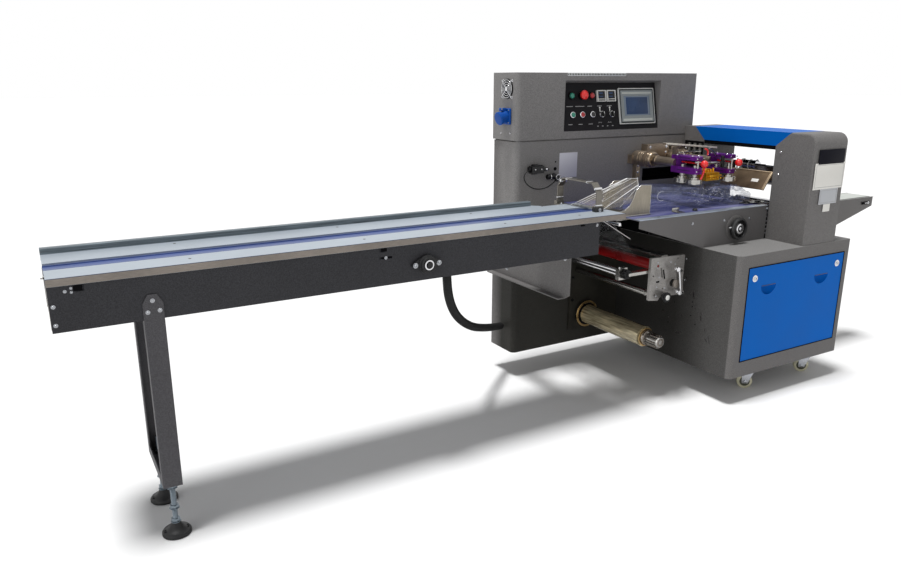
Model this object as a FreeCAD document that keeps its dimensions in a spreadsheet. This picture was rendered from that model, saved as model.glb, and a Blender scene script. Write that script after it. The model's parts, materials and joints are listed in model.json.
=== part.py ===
import FreeCAD, Part
import math
import os
from types import SimpleNamespace

import Sketcher
from FreeCAD import Placement, Rotation, Vector

# A horizontal flow wrapper, in millimetres. Every sub-part is drawn in the machine's shop datum:
# x from the infeed end along the machine, y from the infeed skirt's front face towards the rear,
# z from the floor. "place" then shifts it so that the origin is the middle of the footprint.

DIMENSIONS = [
    ("overall_length", 3715, "infeed end to discharge nose"),
    ("front_face", -185, "front face of the lower cabinet"),
    ("rear_face", 709, "back of the control head"),
    ("infeed_length", 1855, "skirt channel"),
    ("infeed_depth", 262, "skirt channel, front to rear"),
    ("infeed_top", 839, "height of the bed"),
    ("skirt_top", 818, "lower edge of the bed's trim"),
    ("skirt_bottom", 691, "lower edge of the skirt"),
    ("sheet", 3, "sheet metal thickness"),
    ("bed_depth", 344, "front trim to rear rail"),
    ("bed_end", 1976, "tongue of the bed over the film gap"),
    ("slot_front", 125, "front edge of the pusher slot"),
    ("slot_rear", 190, "rear edge of the pusher slot"),
    ("rail_end", 1763, "end of the rear side rail"),
    ("lane", 176, "middle of the product lane"),
    ("leg_left", 225, "left side of the leg frame"),
    ("leg_width", 55, "width of a leg"),
    ("leg_bottom", 169, "underside of the leg frame"),
    ("foot_radius", 43, "levelling foot"),
    ("cabinet_left", 1835, "tall cabinet, infeed side"),
    ("cabinet_right", 2876, "tall cabinet, discharge side"),
    ("cabinet_front", 530, "tall cabinet, front face"),
    ("cabinet_rear", 706, "tall cabinet, back"),
    ("cabinet_bottom", 120, "underside of both cabinets"),
    ("seam_level", 1078, "joint between cabinet and control head"),
    ("cabinet_top", 1364, "top of the control head"),
    ("head_overlap", 3, "how far the head stands proud"),
    ("panel_left", 2082, "control panel recess"),
    ("panel_right", 2647, "control panel recess"),
    ("panel_low", 1115, "lower edge of the control panel"),
    ("panel_lean", 41, "how far the panel leans back"),
    ("panel_rise", 208, "height of the leaning panel"),
    ("lower_left", 2438, "lower cabinet, infeed side"),
    ("lower_right", 3161, "lower cabinet, discharge side"),
    ("lower_top", 650, "top of the lower cabinet"),
    ("door_left", 2496, "blue front panel"),
    ("door_right", 3125, "blue front panel"),
    ("door_bottom", 189, "blue front panel"),
    ("door_top", 596, "blue front panel"),
    ("deck_front", 12, "front skirt of the deck"),
    ("deck_left", 2069, "deck, infeed end"),
    ("deck_top", 799, "height of the deck"),
    ("portal_left", 2832, "end-seal portal, infeed side"),
    ("portal_right", 3050, "end-seal portal, discharge side"),
    ("portal_front", -182, "front block of the portal"),
    ("portal_inner", 8, "rear face of the front block"),
    ("portal_back", 403, "front face of the rear block"),
    ("portal_top", 1119, "top of the portal"),
    ("beam_bottom", 1059, "lower edge of the blue beam cover"),
    ("seal_line", 835, "height where the jaws meet"),
    ("jaw_reach", 60, "shaft centre to jaw face"),
    ("handwheel_x", 2627, "handwheel shaft"),
    ("handwheel_z", 718, "handwheel shaft"),
    ("roll_x", 2242, "film shaft"),
    ("roll_z", 258, "film shaft"),
    ("end_plate_left", 2150, "outer roller plate"),
    ("end_plate_right", 2340, "outer roller plate"),
    ("end_plate_front", 14, "outer roller plate"),
    ("plate_thickness", 12, "roller plates"),
    ("castor_radius", 33, "castor wheel"),
    ("castor_width", 24, "castor wheel"),
    ("nose_top", 765, "top of the discharge conveyor"),
    ("nose_front", 70, "discharge conveyor, front plate"),
    ("nose_rear", 205, "discharge conveyor, rear plate"),
]

# Positions of the four castor pivots, x and y.
CASTORS = {
    "front_left": (2693, -95),
    "front_right": (3089, -95),
    "rear_left": (2693, 636),
    "rear_right": (3089, 636),
}
CASTOR_TRAIL = 20
CASTOR_YAW = -40

# Positions on the control panel, from its lower left corner along and up the panel.
BUTTONS = {"start_lamp": (54, 153), "fault_lamp": (168, 153),
           "start": (54, 70), "stop": (109, 70), "jog": (168, 70)}
SELECTORS = {"selector_left": (223, 70), "selector_right": (281, 70)}
CONTROLLERS = [(223, 151), (281, 151)]
STOP_BUTTON = (110, 153)
SCREEN_CENTRE = (434, 103)

# Route of the corrugated hose, from the infeed channel to the gland on the tall cabinet.
HOSE_ROUTE = [(1257, 122, 710), (1259, 124, 618), (1292, 153, 532), (1362, 214, 452),
              (1487, 323, 366), (1640, 456, 298), (1758, 559, 253), (1821, 611, 232)]
HOSE_DIAMETER = 34

# Route of the sensor lead, from the sensor's end round to the round connector.
LEAD_ROUTE = [(1896, 514, 958), (1868, 511, 950), (1858, 507, 918), (1884, 503, 888),
              (1926, 501, 872), (1974, 500, 876), (2001, 500, 888), (2021, 500, 902)]
LEAD_DIAMETER = 5

doc = FreeCAD.newDocument("FlowWrapper")
sub_parts = []


class Size:
    """A length that carries its spreadsheet formula along with its present value."""

    def __init__(self, text, value):
        self.text = text
        self.value = float(value)

    def combine(self, other, sign, value):
        return Size(f"({self.text} {sign} {formula(other)})", value)

    def __add__(self, other):
        return self.combine(other, "+", self.value + number(other))

    def __sub__(self, other):
        return self.combine(other, "-", self.value - number(other))

    def __mul__(self, other):
        return self.combine(other, "*", self.value * number(other))

    def __truediv__(self, other):
        return self.combine(other, "/", self.value / number(other))

    def __radd__(self, other):
        return self + other

    def __rsub__(self, other):
        return self * -1 + other


def number(value):
    return value.value if isinstance(value, Size) else float(value)


def formula(value):
    return value.text if isinstance(value, Size) else f"({float(value)})"


def make_sheet():
    """The spreadsheet of driving dimensions, and the same values as Size objects."""
    sheet = doc.addObject("Spreadsheet::Sheet", "Sizes")
    for row, (alias, value, note) in enumerate(DIMENSIONS, 1):
        sheet.set(f"A{row}", note)
        sheet.set(f"B{row}", str(value))
        sheet.setAlias(f"B{row}", alias)
    doc.recompute()
    return SimpleNamespace(**{alias: Size("Sizes." + alias, value) for alias, value, _ in DIMENSIONS})


D = make_sheet()
SHIFT_X = D.overall_length / -2
SHIFT_Y = (D.front_face + D.rear_face) / -2


# ---------------------------------------------------------------- helpers

def bind(item, name, value):
    """Set a property, by formula where the value comes from the sheet."""
    if isinstance(value, Size):
        item.setExpression(name, value.text)
    else:
        setattr(item, name, value)


def place(item, x=0, y=0, z=0, turn=None):
    """Put a sub-part at a point of the shop datum, with an optional rotation."""
    if turn is not None:
        item.Placement = Placement(Vector(), turn)
    for axis, value in zip("xyz", (x + SHIFT_X, y + SHIFT_Y, z)):
        item.setExpression(f"Placement.Base.{axis}", formula(value))


def new_body(name, x=0, y=0, z=0, turn=None):
    """An empty PartDesign body that becomes one exported sub-part."""
    body = doc.addObject("PartDesign::Body", name)
    body.Label = name
    body.AllowCompound = True
    place(body, x, y, z, turn)
    sub_parts.append(body)
    return body


NORMAL = {"XY": 1, "YZ": 1, "XZ": -1}


def new_sketch(body, name, plane, level=0):
    """A sketch on one of the body's own origin planes, moved to a level along that plane's axis."""
    sketch = body.newObject("Sketcher::SketchObject", name)
    support = next(item for item in body.Origin.OriginFeatures if item.Role == plane + "_Plane")
    sketch.AttachmentSupport = [(support, "")]
    sketch.MapMode = "FlatFace"
    sketch.setExpression("AttachmentOffset.Base.z", formula(level * NORMAL[plane]))
    return sketch


def pin(sketch, geometry, point, place_):
    """Fix a sketch point at its distances from the sketch origin."""
    for kind, value in zip(("DistanceX", "DistanceY"), place_):
        row = sketch.addConstraint(Sketcher.Constraint(kind, geometry, point, number(value)))
        if isinstance(value, Size):
            sketch.setExpression(f"Constraints[{row}]", value.text)


def outline(*points):
    """A closed outline of straight sides through the given points."""
    def draw(sketch):
        first = sketch.GeometryCount
        corners = [Vector(number(u), number(v), 0) for u, v in points]
        for start, end in zip(corners, corners[1:] + corners[:1]):
            sketch.addGeometry(Part.LineSegment(start, end), False)
        for index, corner in enumerate(points):
            following = first + (index + 1) % len(points)
            sketch.addConstraint(Sketcher.Constraint("Coincident", first + index, 2, following, 1))
            pin(sketch, first + index, 1, corner)
    return draw


def rectangle(u_low, v_low, u_high, v_high):
    return outline((u_low, v_low), (u_high, v_low), (u_high, v_high), (u_low, v_high))


def circle(u, v, radius):
    def draw(sketch):
        geometry = sketch.addGeometry(
            Part.Circle(Vector(number(u), number(v), 0), Vector(0, 0, 1), number(radius)), False)
        row = sketch.addConstraint(Sketcher.Constraint("Radius", geometry, number(radius)))
        if isinstance(radius, Size):
            sketch.setExpression(f"Constraints[{row}]", radius.text)
        pin(sketch, geometry, 3, (u, v))
    return draw


def feature(body, kind, name, plane, level, outlines):
    sketch = new_sketch(body, name + "_sketch", plane, level)
    for draw in outlines:
        draw(sketch)
    item = body.newObject("PartDesign::" + kind, name)
    item.Profile = sketch
    return item


def pad(body, name, plane, level, length, *outlines):
    """Material from a level towards the positive side of the plane's axis."""
    item = feature(body, "Pad", name, plane, level, outlines)
    bind(item, "Length", length)
    item.Reversed = NORMAL[plane] < 0
    return item


def pocket(body, name, plane, level, depth, *outlines):
    """A cut from a level towards the positive side of the plane's axis."""
    item = feature(body, "Pocket", name, plane, level, outlines)
    bind(item, "Length", depth)
    item.Reversed = NORMAL[plane] > 0
    return item


TURN_AXES = {"X": ("XY", "H_Axis"), "Y": ("YZ", "H_Axis"), "Z": ("XZ", "V_Axis")}


def turned(body, name, axis, *profile):
    """A turned piece about the body's own axis: profile points are (along, radius)."""
    plane, reference = TURN_AXES[axis]
    sketch = new_sketch(body, name + "_sketch", plane)
    points = [(radius, along) for along, radius in profile] if axis == "Z" else profile
    outline(*points)(sketch)
    item = body.newObject("PartDesign::Revolution", name)
    item.Profile = sketch
    item.ReferenceAxis = (sketch, [reference])
    item.Angle = 360
    return item


def along(axis, first, second):
    """Test for straight edges along an axis, at the two other coordinates in x, y, z order."""
    others = [index for index in range(3) if "XYZ"[index] != axis]

    def test(edge):
        ends = [vertex.Point for vertex in edge.Vertexes]
        wanted = (number(first), number(second))
        return len(ends) == 2 and all(
            abs(end[index] - value) < 0.01 for end in ends for index, value in zip(others, wanted))
    return test


def round_edges(body, name, radius, *tests):
    """A fillet on the edges of the body's tip that pass any of the tests."""
    doc.recompute()
    base = body.Tip
    names = [f"Edge{index}" for index, edge in enumerate(base.Shape.Edges, 1)
             if any(test(edge) for test in tests)]
    item = body.newObject("PartDesign::Fillet", name)
    item.Base = (base, names)
    bind(item, "Radius", radius)
    return item


def polar(body, name, original, axis, count):
    """Repeat a feature round one of the body's own axes."""
    item = body.newObject("PartDesign::PolarPattern", name)
    item.Originals = [original]
    reference = next(part for part in body.Origin.OriginFeatures if part.Role == axis + "_Axis")
    item.Axis = (reference, [""])
    item.Angle = 360
    item.Occurrences = count
    body.Tip = item
    return item


def fixed_shape(name, shape):
    """A sub-part that is a free-form shape made with Part's own functions."""
    item = doc.addObject("Part::Feature", name)
    item.Label = name
    item.Shape = shape
    place(item)
    sub_parts.append(item)
    return item


def tube_route(points, diameter):
    """A round tube along straight runs joined by tangent arcs. Prints its smallest radius."""
    corners = [Vector(*point) for point in points]
    edges = []
    radii = []
    start = corners[0]
    for before, corner, after in zip(corners, corners[1:], corners[2:]):
        run_in = corner - before
        run_out = after - corner
        half_turn = run_in.getAngle(run_out) / 2
        setback = 0.45 * min(run_in.Length, run_out.Length)
        radius = setback / math.tan(half_turn)
        radii.append(round(radius))
        arc_start = corner - run_in.normalize() * setback
        arc_end = corner + run_out.normalize() * setback
        inward = (arc_start + arc_end) * 0.5 - corner
        middle = corner + inward.normalize() * (radius / math.cos(half_turn) - radius)
        edges.append(Part.LineSegment(start, arc_start).toShape())
        edges.append(Part.Arc(arc_start, middle, arc_end).toShape())
        start = arc_end
    edges.append(Part.LineSegment(start, corners[-1]).toShape())
    path = Part.Wire(edges)
    section = Part.Wire(Part.Circle(corners[0], corners[1] - corners[0], diameter / 2).toShape())
    tube = path.makePipeShell([section], True, False)
    expected = math.pi * diameter ** 2 / 4 * path.Length
    print("cord length", round(path.Length), "radii", radii,
          "volume ratio", round(tube.Volume / expected, 4))
    return tube


# ---------------------------------------------------------------- infeed conveyor

def infeed_skirt():
    """Folded channel with inturned lower lips, an end plate and two bridges inside."""
    body = new_body("infeed_skirt")
    lip = D.skirt_bottom + D.sheet
    for name, outer, inner, tip in (
            ("front", 0, D.sheet, 28),
            ("rear", D.infeed_depth, D.infeed_depth - D.sheet, D.infeed_depth - 28)):
        pad(body, name + "_web", "YZ", 0, D.infeed_length,
            outline((outer, D.skirt_bottom), (outer, D.skirt_top), (inner, D.skirt_top),
                    (inner, lip), (tip, lip), (tip, D.skirt_bottom)))
    for name, x in (("infeed_end", 0), ("bridge_left", 640), ("bridge_right", 1852)):
        pad(body, name, "YZ", x, D.sheet,
            rectangle(D.sheet / 2, lip, D.infeed_depth - D.sheet / 2, D.skirt_top))
    pad(body, "hose_shelf", "XY", 712, D.sheet,
        rectangle(1222, D.sheet / 2, 1302, D.infeed_depth - D.sheet / 2))
    pocket(body, "adjuster_windows", "XZ", -1, 5,
           rectangle(66, 797, 88, 815), rectangle(942, 802, 964, 815),
           rectangle(941, 779, 985, 787), circle(41, 801, 3.5))
    return body


def infeed_bed():
    """Two stainless bed plates with folded edges, either side of the slot, and the rear side rail."""
    body = new_body("infeed_bed")
    under = D.infeed_top - D.sheet
    pad(body, "front_plate", "YZ", 0, D.bed_end,
        outline((-6, D.skirt_top), (-6, D.infeed_top), (D.slot_front, D.infeed_top),
                (D.slot_front, D.skirt_top), (D.slot_front - 2, D.skirt_top),
                (D.slot_front - 2, under), (-4, under), (-4, D.skirt_top)))
    pad(body, "rear_plate", "XY", under, D.sheet,
        outline((0, D.slot_rear), (D.bed_end, D.slot_rear), (D.bed_end, 292), (1812, 292),
                (D.rail_end, D.bed_depth), (0, D.bed_depth)))
    pad(body, "slot_flange", "XZ", D.slot_rear, 2, rectangle(0, D.skirt_top, D.bed_end, under))
    pad(body, "rear_flange", "XZ", D.bed_depth - 2, 2, rectangle(0, D.skirt_top, D.rail_end, under))
    front = D.bed_depth - 24
    top = D.infeed_top + 19
    pad(body, "side_rail", "YZ", 0, D.rail_end,
        rectangle(front, D.infeed_top - 0.5, D.bed_depth, top),
        rectangle(front + 2.5, D.infeed_top + 2.5, D.bed_depth - 2.5, top - 2.5))
    round_edges(body, "rounded_rail", 4, along("X", front, top), along("X", D.bed_depth, top))
    return body


def pusher_slot():
    """Blue wear strip with a shallow groove, sunk between the bed plates."""
    body = new_body("pusher_slot")
    low = D.skirt_top + 4
    high = D.infeed_top - 5
    pad(body, "strip", "YZ", 0, D.bed_end - 26,
        outline((D.slot_front, low), (D.slot_rear, low), (D.slot_rear, high),
                (D.slot_rear - 8, high), (D.slot_rear - 8, high - 2), (D.slot_front + 8, high - 2),
                (D.slot_front + 8, high), (D.slot_front, high)))
    return body


def infeed_bearing():
    """Oval two-bolt bearing housing on the skirt, with the drive shaft's end."""
    body = new_body("infeed_bearing", 1108, 0, 747)
    bolt = 44
    pad(body, "middle", "XZ", -13, 13, circle(0, 0, 30))
    pad(body, "ears", "XZ", -13, 13,
        outline((-bolt, -11), (-18, -24), (18, -24), (bolt, -11),
                (bolt + 11, 0), (bolt, 11), (18, 24), (-18, 24), (-bolt, 11), (-bolt - 11, 0)))
    pad(body, "boss", "XZ", -27, 14, circle(0, 0, 26))
    pocket(body, "bearing_recess", "XZ", -27, 5, circle(0, 0, 20))
    pad(body, "shaft_end", "XZ", -34, 14, circle(0, 0, 10))
    pocket(body, "bolt_holes", "XZ", -14, 15, circle(-bolt, 0, 5.2), circle(bolt, 0, 5.2))
    return body


def leg_frame():
    """Folded leg frame: two channel legs bolted outside the skirt and a channel between their feet."""
    body = new_body("leg_frame")
    right = D.leg_left + D.leg_width
    middle = D.leg_left + D.leg_width / 2
    for name, face in (("front", D.sheet * -1), ("rear", D.infeed_depth)):
        pad(body, name + "_face", "XZ", face, D.sheet,
            outline((D.leg_left, D.leg_bottom), (right, D.leg_bottom), (right, 738),
                    (middle + 12, 764), (middle - 12, 764), (D.leg_left, 738)))
    top = D.skirt_bottom
    for name, y in (("front", D.sheet * -1), ("rear", D.infeed_depth - 27)):
        pad(body, name + "_flanges", "XY", D.leg_bottom, top - D.leg_bottom,
            rectangle(D.leg_left, y, D.leg_left + D.sheet, y + 30),
            rectangle(right - D.sheet, y, right, y + 30))
    pad(body, "foot_channel", "YZ", D.leg_left, D.leg_width,
        rectangle(0, D.leg_bottom, D.infeed_depth, D.leg_bottom + 4))
    for name, x in (("left", D.leg_left), ("right", right - D.sheet)):
        pad(body, "foot_flange_" + name, "YZ", x, D.sheet,
            rectangle(0, D.leg_bottom, D.infeed_depth, D.leg_bottom + 32))
    pocket(body, "rod_holes", "XY", D.leg_bottom - 1, 6,
           circle(middle, 22, 8.5), circle(middle, D.infeed_depth - 22, 8.5))
    return body


def levelling_feet():
    """Two threaded rods with lock nuts, each on a swivel pad with two anchor holes."""
    body = new_body("levelling_feet", D.leg_left + D.leg_width / 2, D.infeed_depth / 2, 0)
    spread = D.infeed_depth / 2 - 22
    foot = turned_about(body, "pad_and_rod", spread,
                        (0, 0), (0, D.foot_radius), (14, D.foot_radius), (24, 22), (42, 13),
                        (42, 8), (228, 8), (228, 0))
    nuts = []
    for name, z, height in (("pad_nut", 42, 12), ("lock_nut", 88, 10),
                            ("lower_nut", D.leg_bottom - 13, 13), ("top_nut", D.leg_bottom + 4, 13)):
        nuts.append(pad(body, name, "XY", z, height, hexagon(0, spread, 12)))
    holes = pocket(body, "anchor_holes", "XY", -1, 30, circle(30, spread, 5), circle(-30, spread, 5))
    pair = body.newObject("PartDesign::PolarPattern", "foot_pair")
    pair.Originals = [foot, *nuts, holes]
    reference = next(part for part in body.Origin.OriginFeatures if part.Role == "Z_Axis")
    pair.Axis = (reference, [""])
    pair.Angle = 360
    pair.Occurrences = 2
    body.Tip = pair
    return body


def turned_about(body, name, y, *profile):
    """A turned piece about an upright axis at a distance from the body's own axis."""
    sketch = new_sketch(body, name + "_sketch", "XZ", y)
    outline(*[(radius, along_) for along_, radius in profile])(sketch)
    item = body.newObject("PartDesign::Revolution", name)
    item.Profile = sketch
    item.ReferenceAxis = (sketch, ["V_Axis"])
    item.Angle = 360
    return item


def hexagon(u, v, radius):
    corners = [(u + radius * math.cos(math.radians(angle)), v + radius * math.sin(math.radians(angle)))
               for angle in range(0, 360, 60)]
    return outline(*corners)


def infeed_bracket():
    """Folded bracket from the tall cabinet's side out under the conveyor."""
    body = new_body("infeed_bracket")
    x = D.cabinet_left - 5
    pad(body, "web", "YZ", x, 5,
        outline((170, 474), (700, 474), (700, 690), (134, 690), (134, 495)))
    pad(body, "lower_flange", "XY", 474, 5, rectangle(x - 28, 170, x, 700))
    pad(body, "top_flange", "XY", D.skirt_bottom - 5, 5, rectangle(x - 40, 134, x + 5, D.infeed_depth))
    return body


# ---------------------------------------------------------------- tall cabinet

def tall_cabinet():
    """Closed welded cabinet with a rounded front corner, blind holes and a drive window."""
    body = new_body("tall_cabinet")
    pad(body, "shell", "XY", D.cabinet_bottom, D.seam_level - D.cabinet_bottom,
        rectangle(D.cabinet_left, D.cabinet_front, D.cabinet_right, D.cabinet_rear))
    round_edges(body, "front_corner", 22, along("Z", D.cabinet_left, D.cabinet_front))
    pocket(body, "small_holes", "XZ", D.cabinet_front, 12,
           circle(2044, 953, 8), circle(2045, 984, 3.5))
    pocket(body, "drive_window", "XZ", D.cabinet_front, 70, rectangle(2569, 866, 2836, 925))
    return body


def control_head():
    """Upper box, a little proud of the cabinet, with the leaning panel's recess and the fan opening."""
    body = new_body("control_head")
    left = D.cabinet_left - D.head_overlap - 3
    front = D.cabinet_front - D.head_overlap
    rear = D.cabinet_rear + D.head_overlap
    right = D.cabinet_right + D.head_overlap
    pad(body, "plinth", "XY", D.seam_level, 4,
        rectangle(D.cabinet_left + 4, D.cabinet_front + 4, D.cabinet_right - 4, D.cabinet_rear - 4))
    pad(body, "box", "XY", D.seam_level + 4, D.cabinet_top - D.seam_level - 4,
        rectangle(left, front, right, rear))
    round_edges(body, "front_corner", 22, along("Z", left, front))
    lean = D.panel_lean
    pocket(body, "panel_recess", "YZ", D.panel_left, D.panel_right - D.panel_left,
           outline((front - 2, D.panel_low - 1), (front + 3, D.panel_low - 1),
                   (front + lean + 3, D.panel_low + D.panel_rise - 1),
                   (front - 2, D.panel_low + D.panel_rise + 9)))
    pocket(body, "fan_opening", "YZ", left, 24, circle(608, 1296, 37))
    return body


PANEL_TURN = Rotation(Vector(1, 0, 0), -math.degrees(math.atan(41 / 208)))


def on_panel(name, across=0, up=0):
    """A body in the leaning panel's frame: x across, y into the cabinet, z up the panel."""
    point = PANEL_TURN.multVec(Vector(0, 0, up))
    return new_body(name, D.panel_left + 2 + across,
                    D.cabinet_front - D.head_overlap + point.y, D.panel_low + point.z, PANEL_TURN)


def control_panel():
    """Black front plate with openings for the instruments."""
    body = on_panel("control_panel")
    pad(body, "plate", "XZ", 0, 2.8, rectangle(0, 0, 561, 210))
    return body


def touch_screen():
    """Screen housing with a rounded bezel round a sunk display."""
    body = on_panel("touch_screen", *SCREEN_CENTRE)
    pad(body, "bezel", "XZ", -8, 8, rectangle(-105, -77, 105, 77))
    round_edges(body, "bezel_corners", 7, *(along("Y", x, z) for x in (-105, 105) for z in (-77, 77)))
    pocket(body, "display", "XZ", -8, 3, rectangle(-80, -44, 80, 46))
    return body


def temperature_controllers():
    """Two square controllers with sunk faces."""
    body = on_panel("temperature_controllers")
    for index, (x, z) in enumerate(CONTROLLERS):
        pad(body, f"frame{index}", "XZ", -9, 9, rectangle(x - 25, z - 25, x + 25, z + 25))
        pocket(body, f"face{index}", "XZ", -9, 3, rectangle(x - 20.5, z - 13, x + 20.5, z + 21))
        pocket(body, f"keys{index}", "XZ", -9, 2, rectangle(x - 20.5, z - 22, x + 20.5, z - 16))
    return body


def push_buttons():
    """Round button collars with domed caps, and the collars of the turning controls."""
    body = on_panel("push_buttons")
    for name, (x, z) in BUTTONS.items():
        pad(body, name + "_collar", "XZ", -6, 6, circle(x, z, 14.5))
        pad(body, name + "_cap", "XZ", -9, 4, circle(x, z, 10.5))
    x, z = STOP_BUTTON
    pad(body, "stop_collar", "XZ", -15, 15, circle(x, z, 15), circle(x, z, 9))
    for name, (x, z) in SELECTORS.items():
        pad(body, name + "_collar", "XZ", -5, 5, circle(x, z, 14.5), circle(x, z, 12.1))
    return body


def emergency_stop():
    """Mushroom head on a stem that slides in its collar."""
    body = on_panel("emergency_stop", *STOP_BUTTON)
    turned(body, "mushroom", "Y",
           (-6, 0), (-6, 8.9), (-21, 8.9), (-21, 20), (-29, 20), (-36, 9), (-36, 0))
    return body


def selector(name):
    """Turning selector with a raised grip."""
    body = on_panel(name, *SELECTORS[name])
    turned(body, "disc", "Y", (-0.4, 0), (-0.4, 12), (-9, 12), (-10, 11), (-10, 0))
    pad(body, "grip", "XZ", -18, 10, rectangle(-3.5, -11, 3.5, 11))
    return body


def fan_guard():
    """Round wire guard with cross bars and four fixing eyes, in front of the fan opening."""
    body = new_body("fan_guard", D.cabinet_left - 6, 608, 1296)
    for index, radius in enumerate((36, 21)):
        pad(body, f"ring{index}", "YZ", -7, 2.5, circle(0, 0, radius), circle(0, 0, radius - 2.5))
    pad(body, "hub", "YZ", -7, 2.5, circle(0, 0, 7))
    arm = pad(body, "arm", "YZ", -6.9, 2.3, outline((-1.2, 5), (1.2, 5), (1.2, 46), (-1.2, 46)))
    eye = pad(body, "eye", "YZ", -6.9, 6.9, circle(0, 45, 4))
    turned_guard = body.newObject("PartDesign::PolarPattern", "four_arms")
    turned_guard.Originals = [arm, eye]
    reference = next(part for part in body.Origin.OriginFeatures if part.Role == "X_Axis")
    turned_guard.Axis = (reference, [""])
    turned_guard.Angle = 360
    turned_guard.Occurrences = 4
    body.Tip = turned_guard
    return body


def mains_inlet():
    """Round power inlet with a hinged lid on a square base, tipped downwards."""
    body = new_body("mains_inlet", D.cabinet_left - 6, 608, 1185)
    pad(body, "base", "YZ", -10, 10, rectangle(-32, -36, 32, 34))
    round_edges(body, "base_corners", 8, *(along("X", y, z) for y in (-32, 32) for z in (-36, 34)))
    pad(body, "housing", "YZ", -42, 32, circle(0, -4, 25))
    pad(body, "lid", "YZ", -50, 8, circle(0, -4, 28))
    pad(body, "lid_hinge", "YZ", -50, 40, rectangle(-11, 20, 11, 31))
    return body


def eye_sensor():
    """Small sensor box clipped to the cabinet and the round connector of its lead."""
    body = new_body("eye_sensor")
    front = D.cabinet_front
    pad(body, "housing", "XZ", front - 30, 26, rectangle(1898, 942, 1962, 974))
    pad(body, "clip", "XZ", front - 8, 8, rectangle(1915, 936, 1942, 980))
    pad(body, "lens", "XZ", front - 30, 20, rectangle(1962, 950, 1979, 966))
    pad(body, "flange", "XZ", front - 6, 6, circle(2034, 921, 14))
    pad(body, "plug", "XZ", front - 38, 32, circle(2034, 921, 10.5))
    pad(body, "elbow", "XZ", front - 36, 12, outline((2022, 902), (2032, 900), (2040, 915), (2028, 915)))
    return body


# ---------------------------------------------------------------- lower cabinet

def lower_cabinet():
    """Closed lower cabinet: rounded front corner, recess for the blue panel, slots in its side."""
    body = new_body("lower_cabinet")
    rise = D.lower_top - D.cabinet_bottom
    pad(body, "shell", "XY", D.cabinet_bottom, rise,
        outline((D.lower_left, D.front_face), (D.lower_right, D.front_face),
                (D.lower_right, D.cabinet_rear), (D.cabinet_right, D.cabinet_rear),
                (D.cabinet_right, D.cabinet_front), (D.lower_left, D.cabinet_front)))
    round_edges(body, "front_corner", 28, along("Z", D.lower_left, D.front_face))
    round_edges(body, "right_corner", 6, along("Z", D.lower_right, D.front_face))
    pocket(body, "panel_recess", "XZ", D.front_face, 5,
           rectangle(D.door_left, D.door_bottom, D.door_right, D.door_top))
    for name, x in pull_places():
        pocket(body, name + "_room", "XZ", D.front_face, 34, rectangle(x - 56, 458, x + 56, 524))
    pocket(body, "side_holes", "YZ", D.lower_left, 8,
           circle(54, 437, 3.5), circle(60, 520, 3.5), circle(150, 560, 3.5), circle(96, 330, 3.5),
           circle(20, 380, 3.5), circle(-40, 300, 3.5), circle(170, 300, 3.5))
    pocket(body, "side_slots", "YZ", D.lower_left, 8,
           outline((36, 455), (41, 455), (33, 418), (28, 418)),
           outline((-14, 372), (-9, 372), (-17, 335), (-22, 335)),
           outline((-66, 275), (-61, 275), (-69, 240), (-74, 240)),
           outline((90, 250), (125, 244), (125, 239), (90, 245)))
    for name, (x, y) in CASTORS.items():
        pad(body, name + "_castor_plate", "XY", D.cabinet_bottom - 4, 4,
            rectangle(x - 34, y - 34, x + 34, y + 34))
    return body


def pull_places():
    """The two finger pulls of the blue panel."""
    return (("pull_left", D.door_left + 133), ("pull_right", D.door_right - 147))


def front_panel():
    """Blue lift-off panel with two pressed finger pulls and lock holes."""
    body = new_body("front_panel")
    pad(body, "plate", "XZ", D.front_face - 1, 4,
        rectangle(D.door_left + 2, D.door_bottom + 2, D.door_right - 2, D.door_top - 2))
    for name, x in pull_places():
        pad(body, name + "_boss", "XZ", D.front_face + 3, 28, rectangle(x - 53, 461, x + 53, 521))
        scoop = ball(body, "SubtractiveEllipsoid", name + "_scoop", x, D.front_face - 1, 509)
        scoop.Radius1 = 41
        scoop.Radius2 = 47
        scoop.Radius3 = 25
        scoop.Angle1 = -90
        scoop.Angle2 = 0
    return body


def ball(body, kind, name, x, y, z):
    """A round primitive of the given kind, centred on a point of the body."""
    item = body.newObject("PartDesign::" + kind, name)
    for axis, value in zip("xyz", (x, y, z)):
        item.setExpression("AttachmentOffset.Base." + axis, formula(value))
    support = next(part for part in body.Origin.OriginFeatures if part.Role == "XY_Plane")
    item.AttachmentSupport = [(support, "")]
    item.MapMode = "FlatFace"
    return item


def castor_fork(name, x, y):
    """Pressed swivel fork: round crown, two cheeks narrowing to the axle, and the axle pin."""
    body = new_body(name, x, y, 0, Rotation(Vector(0, 0, 1), CASTOR_YAW))
    crown = D.cabinet_bottom - 4.4
    axle = D.castor_radius
    half = D.castor_width / 2 + 3
    pad(body, "crown", "XY", crown - 14, 14, circle(0, 0, 24))
    pad(body, "bridge", "XY", crown - 26, 13,
        rectangle(CASTOR_TRAIL * -1 - 14, half * -1 - 3, 20, half + 3))
    for side, y_low in (("near", half * -1 - 3), ("far", half)):
        pad(body, side + "_cheek", "XZ", y_low, 3,
            outline((CASTOR_TRAIL * -1 - 12, axle - 8), (CASTOR_TRAIL * -1 + 12, axle - 8),
                    (20, crown - 20), (20, crown - 13),
                    (CASTOR_TRAIL * -1 - 14, crown - 13), (CASTOR_TRAIL * -1 - 14, axle)))
    pad(body, "axle", "XZ", half * -1 - 6, half * 2 + 12, circle(CASTOR_TRAIL * -1, axle, 5))
    return body


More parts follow.
